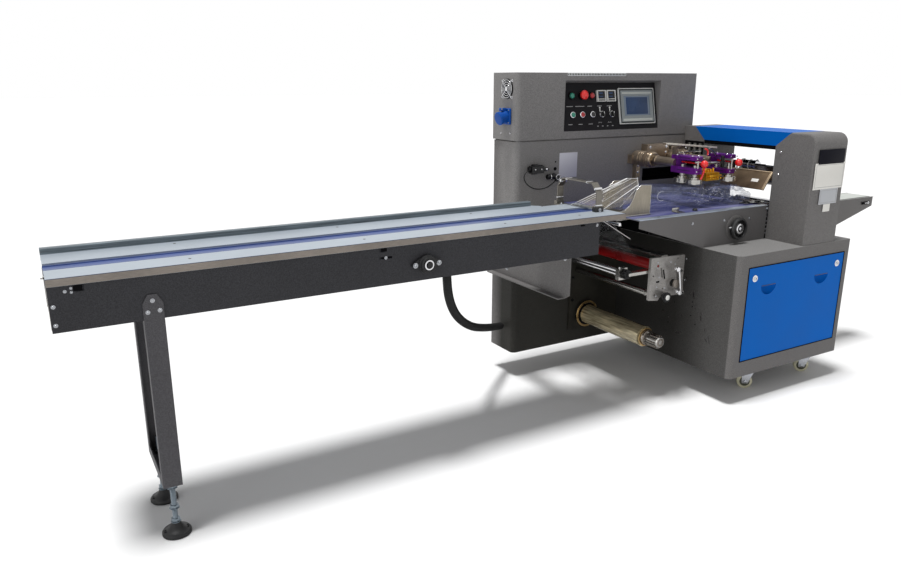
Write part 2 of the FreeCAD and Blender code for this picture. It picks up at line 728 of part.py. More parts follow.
def castor_wheel(name, x, y):
    """Castor wheel with a chamfered tread, bored for the axle."""
    offset = Rotation(Vector(0, 0, 1), CASTOR_YAW).multVec(Vector(-CASTOR_TRAIL, 0, 0))
    body = new_body(name, x + offset.x, y + offset.y, D.castor_radius,
                    Rotation(Vector(0, 0, 1), CASTOR_YAW))
    half = D.castor_width / 2
    turned(body, "tyre", "Y",
           (half * -1, 5.08), (half * -1, D.castor_radius - 3), (half * -1 + 3, D.castor_radius),
           (half - 3, D.castor_radius), (half, D.castor_radius - 3), (half, 5.08))
    return body


# ---------------------------------------------------------------- deck, former and film

def deck():
    """Deck over the film gap: top plate, tapering front skirt and the closed block behind it."""
    body = new_body("deck")
    pad(body, "front_skirt", "XZ", D.deck_front, D.sheet,
        outline((D.deck_left, D.deck_top), (D.deck_left, D.deck_top - 32),
                (D.lower_left, D.lower_top), (D.portal_left, D.lower_top), (D.portal_left, D.deck_top)))
    pad(body, "top_plate", "XY", D.deck_top - D.sheet, D.sheet,
        rectangle(D.deck_left, D.deck_front, D.portal_left, D.cabinet_front))
    pad(body, "block", "XY", D.lower_top, D.deck_top - D.lower_top - 2,
        rectangle(D.lower_left + 40, D.deck_front + 2, D.portal_left, D.cabinet_front))
    pad(body, "rear_rib", "XZ", D.cabinet_front - D.sheet, D.sheet,
        outline((D.deck_left, D.deck_top - 1), (D.deck_left, D.deck_top - 32),
                (D.lower_left + 42, D.lower_top + 40), (D.lower_left + 42, D.deck_top - 1)))
    pocket(body, "wheel_bore", "XZ", D.deck_front - 1, 40, circle(D.handwheel_x, D.handwheel_z, 8.06))
    return body


def handwheel():
    """Dished handwheel: rim and web in one turning, hub and shaft, with a radial locking pin."""
    body = new_body("handwheel", D.handwheel_x, D.deck_front, D.handwheel_z)
    turned(body, "rim_and_web", "Y",
           (-17, 16), (-17, 34), (-31, 38), (-31, 44), (-26, 48), (-16, 48), (-11, 44), (-11, 16))
    turned(body, "hub", "Y", (25, 0), (25, 8), (-2, 8), (-2, 17), (-24, 17), (-28, 9), (-28, 0))
    pad(body, "locking_pin", "YZ", -62, 24, circle(-21, 9, 3.5))
    return body


def guide_arch():
    """Flat strap bent over the lane, a clamp block at each foot and a shelf behind the narrowed bed."""
    body = new_body("guide_arch", 1912)
    thickness = 4
    front, rear = 76, 322
    base, shoulder, top = D.infeed_top, 915, 950
    outer = [(front, base), (front, shoulder), (front + 32, top), (rear - 32, top),
             (rear, shoulder), (rear, base)]
    inner = [(rear - thickness, base), (rear - thickness, shoulder - 2), (rear - 34, top - thickness),
             (front + 34, top - thickness), (front + thickness, shoulder - 2), (front + thickness, base)]
    pad(body, "strap", "YZ", -15, 30, outline(*outer, *inner))
    pad(body, "front_clamp", "XY", D.infeed_top, 14, rectangle(-18, front - 4, 18, front + 16))
    pad(body, "rear_clamp", "XY", D.infeed_top, 14, rectangle(-18, rear - 6, 18, rear + 12))
    pad(body, "shelf", "XY", D.infeed_top - 3, 3.5, rectangle(-22, 292, 22, rear + 12))
    return body


def bag_former():
    """Folding box of sheet: two side plates with curved leading edges and a floor."""
    body = new_body("bag_former")
    near, far = D.lane - 80, D.lane + 80
    floor = D.deck_top
    end = 2202
    side = outline((2030, floor), (end, floor), (end, 921), (2146, 924), (2122, 906), (2108, 873),
                   (2090, 844), (2064, 828), (2030, 823))
    pad(body, "near_side", "XZ", near, 2, side)
    pad(body, "far_side", "XZ", far - 2, 2, side)
    pad(body, "floor", "XY", floor, 2, rectangle(1985, near, end, far))
    return body


def tube_skin(inset):
    """A loft along the lane through the folded film's five stations, drawn in by an inset."""
    near, far = number(D.lane) - 74, number(D.lane) + 74
    stations = [
        (2040, near, far, 802, 818),
        (2176, near, far, 802, 914),
        (2450, near, far, 802, 893),
        (2740, near, far, 802, 889),
        (2826, near, far, 802, 846),
    ]
    sections = []
    for x, y_low, y_high, z_low, z_high in stations:
        low, high = y_low + inset, y_high - inset
        corners = [Vector(x, low, z_low + inset), Vector(x, high, z_low + inset),
                   Vector(x, high - 6, z_high - inset), Vector(x, low + 6, z_high - inset)]
        sections.append(Part.makePolygon(corners + corners[:1]))
    return Part.makeLoft(sections, True, True)


def film_web():
    """Clear film: the flat web up from the red roller, the fan onto the former, and the folded tube."""
    near, far = number(D.lane) - 60, number(D.lane) + 230
    corners = [Vector(2166, near, 618), Vector(2167.5, near, 618),
               Vector(2011.5, near, 797), Vector(2010, near, 797)]
    web = Part.Face(Part.makePolygon(corners + corners[:1])).extrude(Vector(0, far - near, 0))
    inner = tube_skin(0.8)
    ends = [inner.translated(Vector(shift, 0, 0)) for shift in (-1, 1)]
    tube = tube_skin(0).cut(inner.fuse(ends[1]))
    ends = []
    for near_corner, far_corner in (((1935, 102, 841), (1935, 250, 841)),
                                    ((2150, 108, 921), (2176, 244, 921))):
        low, high = Vector(*near_corner), Vector(*far_corner)
        up = Vector(0, 0, 1)
        ends.append(Part.makePolygon([low, high, high + up, low + up, low]))
    fan = Part.makeLoft(ends, True, True)
    return fixed_shape("film_web", Part.makeCompound([web, fan, tube]))


# ---------------------------------------------------------------- middle seal unit

WHEEL_STATIONS = (2495, 2706)
WHEEL_RADIUS = 34
SPINDLES = {"left": (2507, 261), "right": (2722, 252)}


def seal_arm():
    """Carrier from the cabinet front: two boxes, a post, two spindle housings and a slotted top bar."""
    body = new_body("seal_arm")
    front = D.cabinet_front
    pad(body, "left_box", "XZ", 490, front - 490, rectangle(2554, 990, 2692, 1041))
    pad(body, "right_box", "XZ", 490, front - 490, rectangle(2708, 982, 2826, 1029))
    pad(body, "rail", "XZ", 500, front - 500, rectangle(2470, 955, 2770, 996))
    pad(body, "post", "XZ", 506, front - 506, rectangle(2506, 872, 2530, 1001))
    for name, (x, tip) in SPINDLES.items():
        pad(body, name + "_housing", "XZ", 400, 112, circle(x, 981, 34))
        pad(body, name + "_collar", "XZ", 428, 12, circle(x, 981, 37))
        pad(body, name + "_spindle", "XZ", tip, 402 - tip, circle(x, 981, 19))
    pad(body, "bar", "XZ", 232, 20, outline((2408, 1064), (2724, 1034), (2724, 1042), (2408, 1072)))
    pad(body, "bar_post", "YZ", 2500, 14,
        outline((263, 990), (284, 990), (284, 1046), (244, 1062), (244, 1050), (263, 1042)))
    slot = pocket(body, "bar_slot", "XY", 1020, 60, rectangle(2424, 239, 2448, 245))
    slots = body.newObject("PartDesign::LinearPattern", "bar_slots")
    slots.Originals = [slot]
    reference = next(part for part in body.Origin.OriginFeatures if part.Role == "X_Axis")
    slots.Direction = (reference, [""])
    slots.Length = 256
    slots.Occurrences = 8
    body.Tip = slots
    return body


# Clamp blocks at each wheel station: left, right, front, rear, then the lower block's and the
# upper block's heights.
CLAMP_BLOCKS = [(2476, 2532, 123, 261, (943, 970), (1001, 1018)),
                (2690, 2742, 126, 252, (935, 955), (1001, 1016))]


def seal_blocks():
    """Anodised clamp blocks, upper and lower at each wheel station, bored for the wheel shafts."""
    body = new_body("seal_blocks")
    for index, (left, right, front, rear, lower, upper) in enumerate(CLAMP_BLOCKS):
        for name, (low, high) in (("lower", lower), ("upper", upper)):
            pad(body, f"{name}{index}", "XY", low, high - low,
                outline((left, front), (right - 14, front), (right, front + 16), (right, rear), (left, rear)))
        pad(body, f"spacer{index}", "XY", lower[1] - 1, upper[0] - lower[1] + 2,
            rectangle(right - 30, rear - 32, right - 4, rear - 2))
        x = WHEEL_STATIONS[index]
        pocket(body, f"bores{index}", "XY", lower[0] - 1, lower[1] - lower[0] + 2,
               circle(x, D.lane - WHEEL_RADIUS - 1, 8.06), circle(x, D.lane + WHEEL_RADIUS + 1, 8.06))
    return body


def seal_wheel(name, x, y):
    """Knurled sealing wheel with its hub and upright shaft."""
    body = new_body(name, x, y, 0)
    turned(body, "wheel", "Z",
           (898, 0), (898, 12), (903, 12), (903, WHEEL_RADIUS), (921, WHEEL_RADIUS), (921, 20),
           (929, 20), (929, 8), (980, 8), (980, 0))
    return body


def ball_levers():
    """Two clamping levers, each a long stem with a ball knob."""
    body = new_body("ball_levers")
    for name, x, z, rear in (("left", 2509, 988, 229), ("right", 2724, 984, 220)):
        pad(body, name + "_stem", "XZ", 108, rear - 108, circle(x, z, 4))
        knob = ball(body, "AdditiveSphere", name + "_ball", x, 104, z)
        knob.Radius = 16
    return body


def heater_block():
    """Brass heater block between the wheel stations, with two terminal studs."""
    body = new_body("heater_block")
    pad(body, "block", "XY", 908, 34, rectangle(2574, 146, 2656, 206))
    pad(body, "bracket", "XY", 941, 14, rectangle(2580, 180, 2636, 206))
    pad(body, "studs", "XZ", 132, 16, circle(2592, 924, 5), circle(2636, 924, 5))
    return body


# ---------------------------------------------------------------- end-seal portal

def portal_frame():
    """Portal over the jaws: rounded front block, rear block and the lintel under the cover."""
    body = new_body("portal_frame")
    width = D.portal_right - D.portal_left
    corner = 42
    mitre_front, mitre_rear = -63, 464
    rear = D.cabinet_front - D.head_overlap
    pad(body, "front_block", "YZ", D.portal_left, width,
        outline((D.portal_front, D.lower_top), (D.portal_front, D.portal_top), (mitre_front, D.portal_top),
                (D.portal_inner, D.beam_bottom), (D.portal_inner, D.lower_top)))
    round_edges(body, "block_shoulder", corner, along("X", D.portal_front, D.portal_top))
    round_edges(body, "block_edge", 8, along("Z", D.portal_left, D.portal_front),
                along("Z", D.portal_right, D.portal_front))
    pad(body, "rear_block", "YZ", D.portal_left, width,
        outline((D.portal_back, D.lower_top), (D.portal_back, D.beam_bottom), (mitre_rear, D.portal_top),
                (rear, D.portal_top), (rear, D.lower_top)))
    pad(body, "lintel", "XZ", D.portal_inner - 1, D.portal_back - D.portal_inner + 2,
        rectangle(D.portal_left + 14, 1044, D.portal_right - 14, D.beam_bottom))
    return body


def portal_cover():
    """Blue folded cover between the mitred ends of the portal, open below."""
    body = new_body("portal_cover")
    mitre_front, mitre_rear = -63, 464
    pad(body, "prism", "YZ", D.portal_left, D.portal_right - D.portal_left,
        outline((D.portal_inner, D.beam_bottom), (mitre_front, D.portal_top), (mitre_rear, D.portal_top),
                (D.portal_back, D.beam_bottom)))
    pocket(body, "hollow", "YZ", D.portal_left + 3, D.portal_right - D.portal_left - 6,
           outline((D.portal_inner, D.beam_bottom), (mitre_front + 9, D.portal_top - 3),
                   (mitre_rear - 9, D.portal_top - 3), (D.portal_back, D.beam_bottom)))
    return body


def end_jaws():
    """Upper and lower jaw shafts with hubs and sealing bars, parked open, and the adjusting knob."""
    body = new_body("end_jaws")
    x = (D.portal_left + D.portal_right) / 2 + 30
    span = D.portal_back - D.portal_inner
    upper, lower = D.seal_line + D.jaw_reach, D.seal_line - D.jaw_reach
    for name, height, bar_low in (("upper", upper, upper), ("lower", lower, lower - 56)):
        pad(body, name + "_shaft", "XZ", D.portal_inner, span, circle(x, height, 17))
        pad(body, name + "_hub", "XZ", 60, 232, circle(x, height, 28))
        pad(body, name + "_bar", "XY", bar_low, 56, rectangle(x - 14, 66, x + 14, 286))
    pad(body, "knob_shaft", "XZ", D.portal_inner, 190, circle(x, 950, 6))
    pad(body, "knob", "XZ", 197, 83, circle(x, 950, 22))
    return body


def jaw_guard():
    """Inclined guard plate at the mouth of the portal, hung from the front block by a tab."""
    body = new_body("jaw_guard", 2782, D.portal_inner, 870, Rotation(Vector(0, 1, 0), 35))
    pad(body, "plate", "XZ", 0, 236, rectangle(-1.5, 0, 1.5, 90))
    pad(body, "tab", "XZ", 0, 14, rectangle(-1.5, 60, 24, 88))
    return body


# ---------------------------------------------------------------- film unwinding

def film_mount_plate():
    """Thick plate on the cabinet front that carries the rollers and the film shaft."""
    body = new_body("film_mount_plate")
    pad(body, "plate", "XZ", D.cabinet_front - D.plate_thickness, D.plate_thickness,
        rectangle(D.end_plate_left, 181, D.lower_left, 640))
    pocket(body, "shaft_bore", "XZ", D.cabinet_front - D.plate_thickness, D.plate_thickness,
           circle(D.roll_x, D.roll_z, 15.06))
    pocket(body, "roller_bores", "XZ", D.cabinet_front - D.plate_thickness, 10,
           circle(2190, 600, 6.06), circle(2182, 478, 5.06))
    return body


def film_shaft():
    """Film shaft with its rear flange and the fluted expanding cone at the free end."""
    body = new_body("film_shaft", D.roll_x, 0, D.roll_z)
    turned(body, "spindle", "Y",
           (529, 0), (529, 15), (506, 15), (506, 64), (498, 64), (498, 40), (492, 36), (492, 20),
           (104, 20), (104, 34), (92, 34), (88, 24), (24, 24), (19, 21), (19, 0))
    flute = pad(body, "fin", "XZ", 30, 60, rectangle(-4, 20, 4, 29))
    polar(body, "fins", flute, "Y", 6)
    return body


def film_roll():
    """Nearly used-up reel of clear film on its core."""
    body = new_body("film_roll", D.roll_x, 0, D.roll_z)
    turned(body, "reel", "Y", (491, 20.3), (491, 45), (114, 45), (114, 38), (108, 38), (108, 20.3))
    return body


def roller(name, x, z, radius, journal, near):
    """Idler roller with journals in both roller plates."""
    body = new_body(name, x, 0, z)
    turned(body, "barrel", "Y",
           (D.end_plate_front + 2, 0), (D.end_plate_front + 2, journal), (near, journal),
           (near, radius), (512, radius), (512, journal), (526, journal), (526, 0))
    return body


def cross_bars():
    """Fixed tie bar between the roller plates and the tension bar with its arm."""
    body = new_body("cross_bars")
    near = D.end_plate_front + D.plate_thickness
    length = D.cabinet_front - D.plate_thickness - near
    pad(body, "tie_bar", "XZ", near, length, rectangle(2218, 629, 2252, 638))
    pad(body, "tension_bar", "XZ", near + 44, D.cabinet_front - near - 44, circle(2036, 579, 16))
    pad(body, "tension_clamp", "XZ", near + 26, 20, rectangle(2014, 555, 2058, 603))
    pad(body, "arm", "XZ", near, 28, rectangle(2044, 572, D.end_plate_left + 14, 584))
    return body


def roller_end_plate():
    """Aluminium outer roller plate with a curved slot, bores and two lugs."""
    body = new_body("roller_end_plate")
    front = D.end_plate_front
    pad(body, "plate", "XZ", front, D.plate_thickness,
        outline((D.end_plate_left, 459), (2200, 452), (2214, 466), (D.end_plate_right, 461),
                (D.end_plate_right, 632), (D.end_plate_left, 637)))
    pocket(body, "journal_bores", "XZ", front, D.plate_thickness, circle(2190, 600, 6.06),
           circle(2182, 478, 5.06))
    pocket(body, "slots", "XZ", front, D.plate_thickness,
           outline((2214, 548), (2222, 548), (2212, 590), (2204, 590)), circle(2278, 519, 21),
           circle(2168, 560, 4), circle(2225, 500, 3), circle(2300, 620, 3.5))
    pad(body, "lug_upper", "XZ", front - 22, 22, circle(2298, 578, 8))
    pad(body, "lug_lower", "XZ", front - 22, 22, circle(2320, 476, 8))
    pad(body, "hub_ring", "XZ", front - 3, 8, circle(2278, 519, 22), circle(2278, 519, 17))
    pad(body, "link", "XZ", front - 17, 5, outline((2304, 578), (2316, 578), (2326, 476), (2314, 476)))
    return body


def plate_knob():
    """Black clamping knob on the lower edge of the outer plate."""
    body = new_body("plate_knob", 2228, D.end_plate_front, 470)
    turned(body, "knob", "Y", (0, 0), (0, 9), (-10, 9), (-12, 17), (-26, 17), (-30, 14), (-30, 0))
    return body


# ---------------------------------------------------------------- discharge conveyor

def discharge_frame():
    """Two tapering side plates with cross ties, cantilevered from the lower cabinet."""
    body = new_body("discharge_frame")
    nose = D.overall_length
    shape = outline((D.portal_right, D.nose_top), (nose, D.nose_top), (nose, D.nose_top - 47),
                    (D.lower_right, 566), (D.lower_right, D.lower_top), (D.portal_right, D.lower_top))
    pad(body, "front_plate", "XZ", D.nose_front, D.sheet, shape)
    pad(body, "rear_plate", "XZ", D.nose_rear - D.sheet, D.sheet, shape)
    pad(body, "ties", "XZ", D.nose_front + 1, D.nose_rear - D.nose_front - 2,
        rectangle(D.lower_right, 620, D.lower_right + 12, 650), circle(3480, 690, 8))
    for name, y in (("front", D.nose_front - 4), ("rear", D.nose_rear)):
        pad(body, name + "_axle_end", "XZ", y, 4, circle(nose - 27, D.nose_top - 25, 6))
    return body


def discharge_belt():
    """Belt loop round the nose and tail, with its closed slider bed inside."""
    body = new_body("discharge_belt")
    near, far = D.nose_front + D.sheet + 4, D.nose_rear - D.sheet - 4
    left, right = D.portal_right + 6, D.overall_length - 5
    top = D.nose_top + 2
    pad(body, "belt_and_bed", "XZ", near, far - near,
        outline((left, top), (right - 12, top), (right, top - 12), (right, top - 38), (right - 12, top - 48),
                (left, top - 48)))
    return body


# ---------------------------------------------------------------- build

def build():
    infeed_skirt()
    infeed_bed()
    pusher_slot()
    infeed_bearing()
    leg_frame()
    levelling_feet()
    infeed_bracket()
    fixed_shape("cable_hose", tube_route(HOSE_ROUTE, HOSE_DIAMETER))

    tall_cabinet()
    control_head()
    control_panel()
    touch_screen()
    temperature_controllers()
    push_buttons()
    emergency_stop()
    for name in SELECTORS:
        selector(name)
    fan_guard()
    mains_inlet()
    eye_sensor()
    fixed_shape("sensor_lead", tube_route(LEAD_ROUTE, LEAD_DIAMETER))

    lower_cabinet()
    front_panel()
    for name, (x, y) in CASTORS.items():
        castor_fork("castor_fork_" + name, x, y)
        castor_wheel("castor_wheel_" + name, x, y)

    deck()
    handwheel()
    guide_arch()
    bag_former()
    film_web()

    seal_arm()
    seal_blocks()
    for index, x in enumerate(WHEEL_STATIONS, 1):
        seal_wheel(f"seal_wheel_near_{index}", x, D.lane - WHEEL_RADIUS - 1)
        seal_wheel(f"seal_wheel_far_{index}", x, D.lane + WHEEL_RADIUS + 1)
    ball_levers()
    heater_block()

    portal_frame()
    portal_cover()
    end_jaws()
    jaw_guard()

    film_mount_plate()
    film_shaft()
    film_roll()
    roller("red_roller", 2190, 600, 22, 6, 31)
    roller("steel_roller", 2182, 478, 13, 5, 64)
    cross_bars()
    roller_end_plate()
    plate_knob()

    discharge_frame()
    discharge_belt()


def export():
    """Check every object, then write one STEP file for each sub-part."""
    doc.recompute()
    failed = [item.Name for item in doc.Objects if "Invalid" in item.State or "Error" in item.State]
    for item in sub_parts:
        if item.Shape.isNull() or not item.Shape.isValid() or not item.Shape.Solids:
            failed.append(item.Label)
    if failed:
        raise RuntimeError("failed: " + ", ".join(sorted(set(failed))))
    os.makedirs("parts", exist_ok=True)
    for item in sub_parts:
        item.Shape.exportStep(f"parts/{item.Label}.step")
    print(len(sub_parts), "sub-parts written")


build()
export()
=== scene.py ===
import json
import math
import random

import bmesh
import bpy
from mathutils import Matrix, Vector, noise


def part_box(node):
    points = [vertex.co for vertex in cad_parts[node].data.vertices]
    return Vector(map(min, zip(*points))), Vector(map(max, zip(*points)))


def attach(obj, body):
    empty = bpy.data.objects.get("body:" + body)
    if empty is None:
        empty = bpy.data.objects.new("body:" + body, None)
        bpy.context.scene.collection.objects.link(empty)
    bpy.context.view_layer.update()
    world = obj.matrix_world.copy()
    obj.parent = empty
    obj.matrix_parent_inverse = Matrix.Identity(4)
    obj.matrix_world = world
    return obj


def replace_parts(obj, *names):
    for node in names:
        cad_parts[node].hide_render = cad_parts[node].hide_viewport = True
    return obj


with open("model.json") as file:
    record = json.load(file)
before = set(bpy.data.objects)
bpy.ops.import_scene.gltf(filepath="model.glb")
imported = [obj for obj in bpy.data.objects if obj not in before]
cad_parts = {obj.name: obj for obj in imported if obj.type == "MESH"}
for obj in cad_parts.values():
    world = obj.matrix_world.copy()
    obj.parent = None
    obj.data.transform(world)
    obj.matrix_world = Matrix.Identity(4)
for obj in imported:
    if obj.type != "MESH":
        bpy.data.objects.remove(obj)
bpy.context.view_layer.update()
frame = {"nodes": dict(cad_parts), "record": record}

NODES = frame["nodes"]
random.seed(7)

# Pieces are drawn in the machine's shop datum, in millimetres: x from the infeed end, y from the front
# face of the infeed skirt towards the rear, z from the floor.
DATUM = Vector((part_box("infeed_skirt")[0].x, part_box("infeed_skirt")[0].y, 0))
TO_FRAME = Matrix.Translation(DATUM) @ Matrix.Scale(0.001, 4)


def at(x, y, z):
    """A point of the shop datum, in the frame's metres."""
    return TO_FRAME @ Vector((x, y, z))


# ---------------------------------------------------------------- materials

def srgb(red, green, blue):
    """A screen colour, 0 to 255, as linear light."""
    channels = []
    for value in (red, green, blue):
        share = value / 255
        channels.append(share / 12.92 if share <= 0.04045 else ((share + 0.055) / 1.055) ** 2.4)
    return tuple(channels)


def new_material(name):
    material = bpy.data.materials.new(name)
    material.use_nodes = True
    return material, material.node_tree, material.node_tree.nodes["Principled BSDF"]


def add(tree, kind, **values):
    """A node with its properties and input values set by name."""
    node = tree.nodes.new(kind)
    for key, value in values.items():
        if key in node.inputs:
            node.inputs[key].default_value = value
        else:
            setattr(node, key, value)
    return node


def pattern(tree, scale, stretch=(1, 1, 1), detail=3.0, roughness=0.5):
    """Noise over the object's own coordinates; scale is in features a metre."""
    coordinates = add(tree, "ShaderNodeTexCoord")
    mapping = add(tree, "ShaderNodeMapping")
    mapping.inputs["Scale"].default_value = stretch
    noise = add(tree, "ShaderNodeTexNoise", Scale=scale, Detail=detail, Roughness=roughness)
    tree.links.new(coordinates.outputs["Object"], mapping.inputs["Vector"])
    tree.links.new(mapping.outputs["Vector"], noise.inputs["Vector"])
    return noise


def ramp(tree, source, low, high, start=0.3, end=0.7):
    """Two colours across part of a pattern's range."""
    node = add(tree, "ShaderNodeValToRGB")
    node.color_ramp.elements[0].position = start
    node.color_ramp.elements[1].position = end
    node.color_ramp.elements[0].color = (*low, 1)
    node.color_ramp.elements[1].color = (*high, 1)
    tree.links.new(source.outputs[0], node.inputs["Fac"])
    return node


def blend_by(tree, mask, below, above):
    """One colour where the mask is 0 and the other where it is 1."""
    mix = add(tree, "ShaderNodeMix", data_type="RGBA")
    tree.links.new(mask, mix.inputs["Factor"])
    tree.links.new(below, mix.inputs["A"])
    tree.links.new(above, mix.inputs["B"])
    return mix.outputs["Result"]


def along_axis(tree, axis, start, end):
    """0 before one place along an axis of the machine and 1 after another, in metres."""
    coordinates = add(tree, "ShaderNodeTexCoord")
    parts = add(tree, "ShaderNodeSeparateXYZ")
    tree.links.new(coordinates.outputs["Object"], parts.inputs[0])
    spread = add(tree, "ShaderNodeMapRange")
    spread.inputs["From Min"].default_value = start
    spread.inputs["From Max"].default_value = end
    tree.links.new(parts.outputs[axis], spread.inputs["Value"])
    return spread.outputs["Result"]


def shade(colour, factor):
    return tuple(min(1.0, channel * factor) for channel in colour)


def finish(name, colour, rough, metallic=0.0, grain=900, stretch=(1, 1, 1), contrast=0.12, bump=0.1,
           blotch=6, mottle=0.06, coat=0.0, transmission=0.0, alpha=1.0, specular=0.5):
    """A surface with a fine grain in its colour and relief, and broad changes in its tone and sheen."""
    material, tree, shader = new_material(name)
    fine = pattern(tree, grain, stretch)
    tint = ramp(tree, fine, shade(colour, 1 - contrast), shade(colour, 1 + contrast))
    broad = pattern(tree, blotch, detail=4.0)
    tone = ramp(tree, broad, (1 - mottle,) * 3, (1.0,) * 3)
    toned = add(tree, "ShaderNodeMix", data_type="RGBA", blend_type="MULTIPLY")
    toned.inputs["Factor"].default_value = 1
    tree.links.new(tint.outputs["Color"], toned.inputs["A"])
    tree.links.new(tone.outputs["Color"], toned.inputs["B"])
    tree.links.new(toned.outputs["Result"], shader.inputs["Base Color"])
    sheen = ramp(tree, broad, (rough * 0.85,) * 3, (min(1.0, rough * 1.15),) * 3)
    tree.links.new(sheen.outputs["Color"], shader.inputs["Roughness"])
    if bump:
        relief = add(tree, "ShaderNodeBump", Strength=bump, Distance=0.0004)
        tree.links.new(fine.outputs[0], relief.inputs["Height"])
        tree.links.new(relief.outputs["Normal"], shader.inputs["Normal"])
    shader.inputs["Metallic"].default_value = metallic
    shader.inputs["Coat Weight"].default_value = coat
    shader.inputs["Coat Roughness"].default_value = 0.05
    shader.inputs["Transmission Weight"].default_value = transmission
    shader.inputs["Specular IOR Level"].default_value = specular
    shader.inputs["Alpha"].default_value = alpha
    return material


def overlay(material, mask_axis, start, end, colour, grain, stretch, contrast):
    """A second grained colour over the part of a surface past a place along an axis."""
    tree = material.node_tree
    shader = tree.nodes["Principled BSDF"]
    under = shader.inputs["Base Color"].links[0].from_socket
    other = ramp(tree, pattern(tree, grain, stretch, detail=5.0), shade(colour, 1 - contrast),
                 shade(colour, 1 + contrast))
    mask = along_axis(tree, mask_axis, start, end)
    tree.links.new(blend_by(tree, mask, under, other.outputs["Color"]), shader.inputs["Base Color"])


GREY_PAINT = finish("textured_grey_paint", srgb(114, 112, 111), 0.55, grain=380, contrast=0.30, bump=0.4,
                    blotch=3, mottle=0.12, specular=0.15)
DARK_PAINT = finish("textured_dark_paint", srgb(84, 83, 86), 0.55, grain=380, contrast=0.25, bump=0.35,
                    blotch=3, mottle=0.16, specular=0.12)
# The control head's grey paint, made lighter than the same paint elsewhere: painted light on the head.
HEAD_PAINTED_LIGHT = finish("control_head_painted_light", srgb(132, 130, 129), 0.55, grain=380, contrast=0.30, bump=0.4,
                    blotch=3, mottle=0.12, specular=0.15)
# The tall cabinet's grey paint, darkened on its low front and left faces: painted shade.
TALL_CABINET_PAINTED_SHADE_AND_LIGHT = finish("tall_cabinet_painted_shade_and_light", srgb(56, 55, 52), 0.55, grain=380, contrast=0.28, bump=0.35,
                   blotch=3, mottle=0.2, specular=0.08)
# The lower cabinet's grey paint, darkened on its left side: painted shade.
LOWER_CABINET_PAINTED_SHADE_AND_LIGHT = finish("lower_cabinet_painted_shade_and_light", srgb(52, 51, 49), 0.55, grain=380, contrast=0.28, bump=0.35,
                    blotch=3, mottle=0.25, specular=0.08)
BLUE_PAINT = finish("blue_paint", srgb(0, 100, 192), 0.5, grain=500, contrast=0.04, bump=0.04,
                    blotch=4, mottle=0.10, specular=0.06)
STAINLESS = finish("brushed_stainless", srgb(176, 174, 170), 0.3, 1.0, grain=60,
                   stretch=(1, 40, 40), contrast=0.16, bump=0.05)
BED_STEEL = finish("bed_stainless", srgb(172, 181, 190), 0.42, 0.12, grain=45,
                   stretch=(1, 26, 26), contrast=0.06, bump=0.03, blotch=2, mottle=0.14, specular=0.25)
BRIGHT_STEEL = finish("machined_steel", srgb(170, 168, 164), 0.24, 1.0, grain=200, contrast=0.14, bump=0.05)
BRONZED = finish("warm_brushed_plate", srgb(172, 156, 138), 0.32, 0.85, grain=60,
                 stretch=(1, 30, 30), contrast=0.24, bump=0.06, blotch=14, mottle=0.3)
GUARD_PLATE = finish("brown_guard_plate", srgb(116, 98, 78), 0.4, 0.8, grain=50,
                     stretch=(1, 14, 14), contrast=0.28, bump=0.06, blotch=18, mottle=0.45)
FORMER_SHEET = finish("former_sheet", srgb(150, 143, 130), 0.36, 0.85, grain=40,
                      stretch=(26, 1, 1), contrast=0.16, bump=0.05, blotch=12, mottle=0.25)
ARCH_STRAP = finish("dull_strap", srgb(126, 122, 115), 0.36, 0.9, grain=70,
                    stretch=(12, 1, 12), contrast=0.22, bump=0.05, blotch=20, mottle=0.3)
ZINC = finish("zinc_plate", srgb(168, 170, 174), 0.28, 1.0, grain=300, contrast=0.1, bump=0.06)
CHROME = finish("chrome", srgb(214, 214, 216), 0.12, 1.0, grain=200, contrast=0.03, bump=0.0)
ALUMINIUM = finish("milled_aluminium", srgb(148, 145, 142), 0.34, 0.5, grain=220,
                   stretch=(1, 1, 3), contrast=0.22, bump=0.1, blotch=20, mottle=0.12)
PURPLE = finish("purple_anodised", srgb(116, 32, 148), 0.3, 0.45, grain=300, contrast=0.2, bump=0.04,
                blotch=24, mottle=0.35)
BRASS = finish("brass", srgb(214, 160, 40), 0.32, 0.75, grain=200, contrast=0.2, bump=0.08, mottle=0.3)
BLACK_IRON = finish("black_casting", srgb(28, 28, 29), 0.45, grain=500, contrast=0.3, bump=0.5, specular=0.3)
BLACK_PLASTIC = finish("black_plastic", srgb(24, 24, 25), 0.4, grain=1500, contrast=0.2, bump=0.1)
BLACK_GLOSS = finish("black_gloss", srgb(15, 15, 17), 0.3, grain=400, contrast=0.1, bump=0.02, specular=0.2)
PANEL_PLATE = finish("panel_face", srgb(38, 37, 39), 0.6, grain=700, contrast=0.25, bump=0.1, specular=0.05)
RUBBER = finish("black_rubber", srgb(22, 22, 22), 0.62, grain=800, contrast=0.25, bump=0.2, specular=0.3)
LIGHT_PLASTIC = finish("light_plastic", srgb(186, 190, 184), 0.45, grain=1200, contrast=0.04, bump=0.08)
WHITE_PLASTIC = finish("white_plastic", srgb(226, 226, 222), 0.4, grain=1200, contrast=0.03, bump=0.05)
SILVER_PLASTIC = finish("silver_plastic", srgb(146, 152, 152), 0.5, grain=1200, contrast=0.05, bump=0.05,
                        specular=0.15)
BLUE_PLASTIC = finish("blue_plastic", srgb(14, 74, 156), 0.4, grain=900, contrast=0.10, bump=0.05,
                      specular=0.15)
RED_PLASTIC = finish("red_plastic", srgb(228, 30, 28), 0.28, grain=900, contrast=0.05, bump=0.03, coat=0.3)
DARK_RED = finish("dark_red_plastic", srgb(176, 18, 26), 0.3, grain=900, contrast=0.05, bump=0.03, coat=0.2)
GREEN_PLASTIC = finish("green_plastic", srgb(10, 128, 104), 0.25, grain=900, contrast=0.05, bump=0.03,
                       coat=0.3)
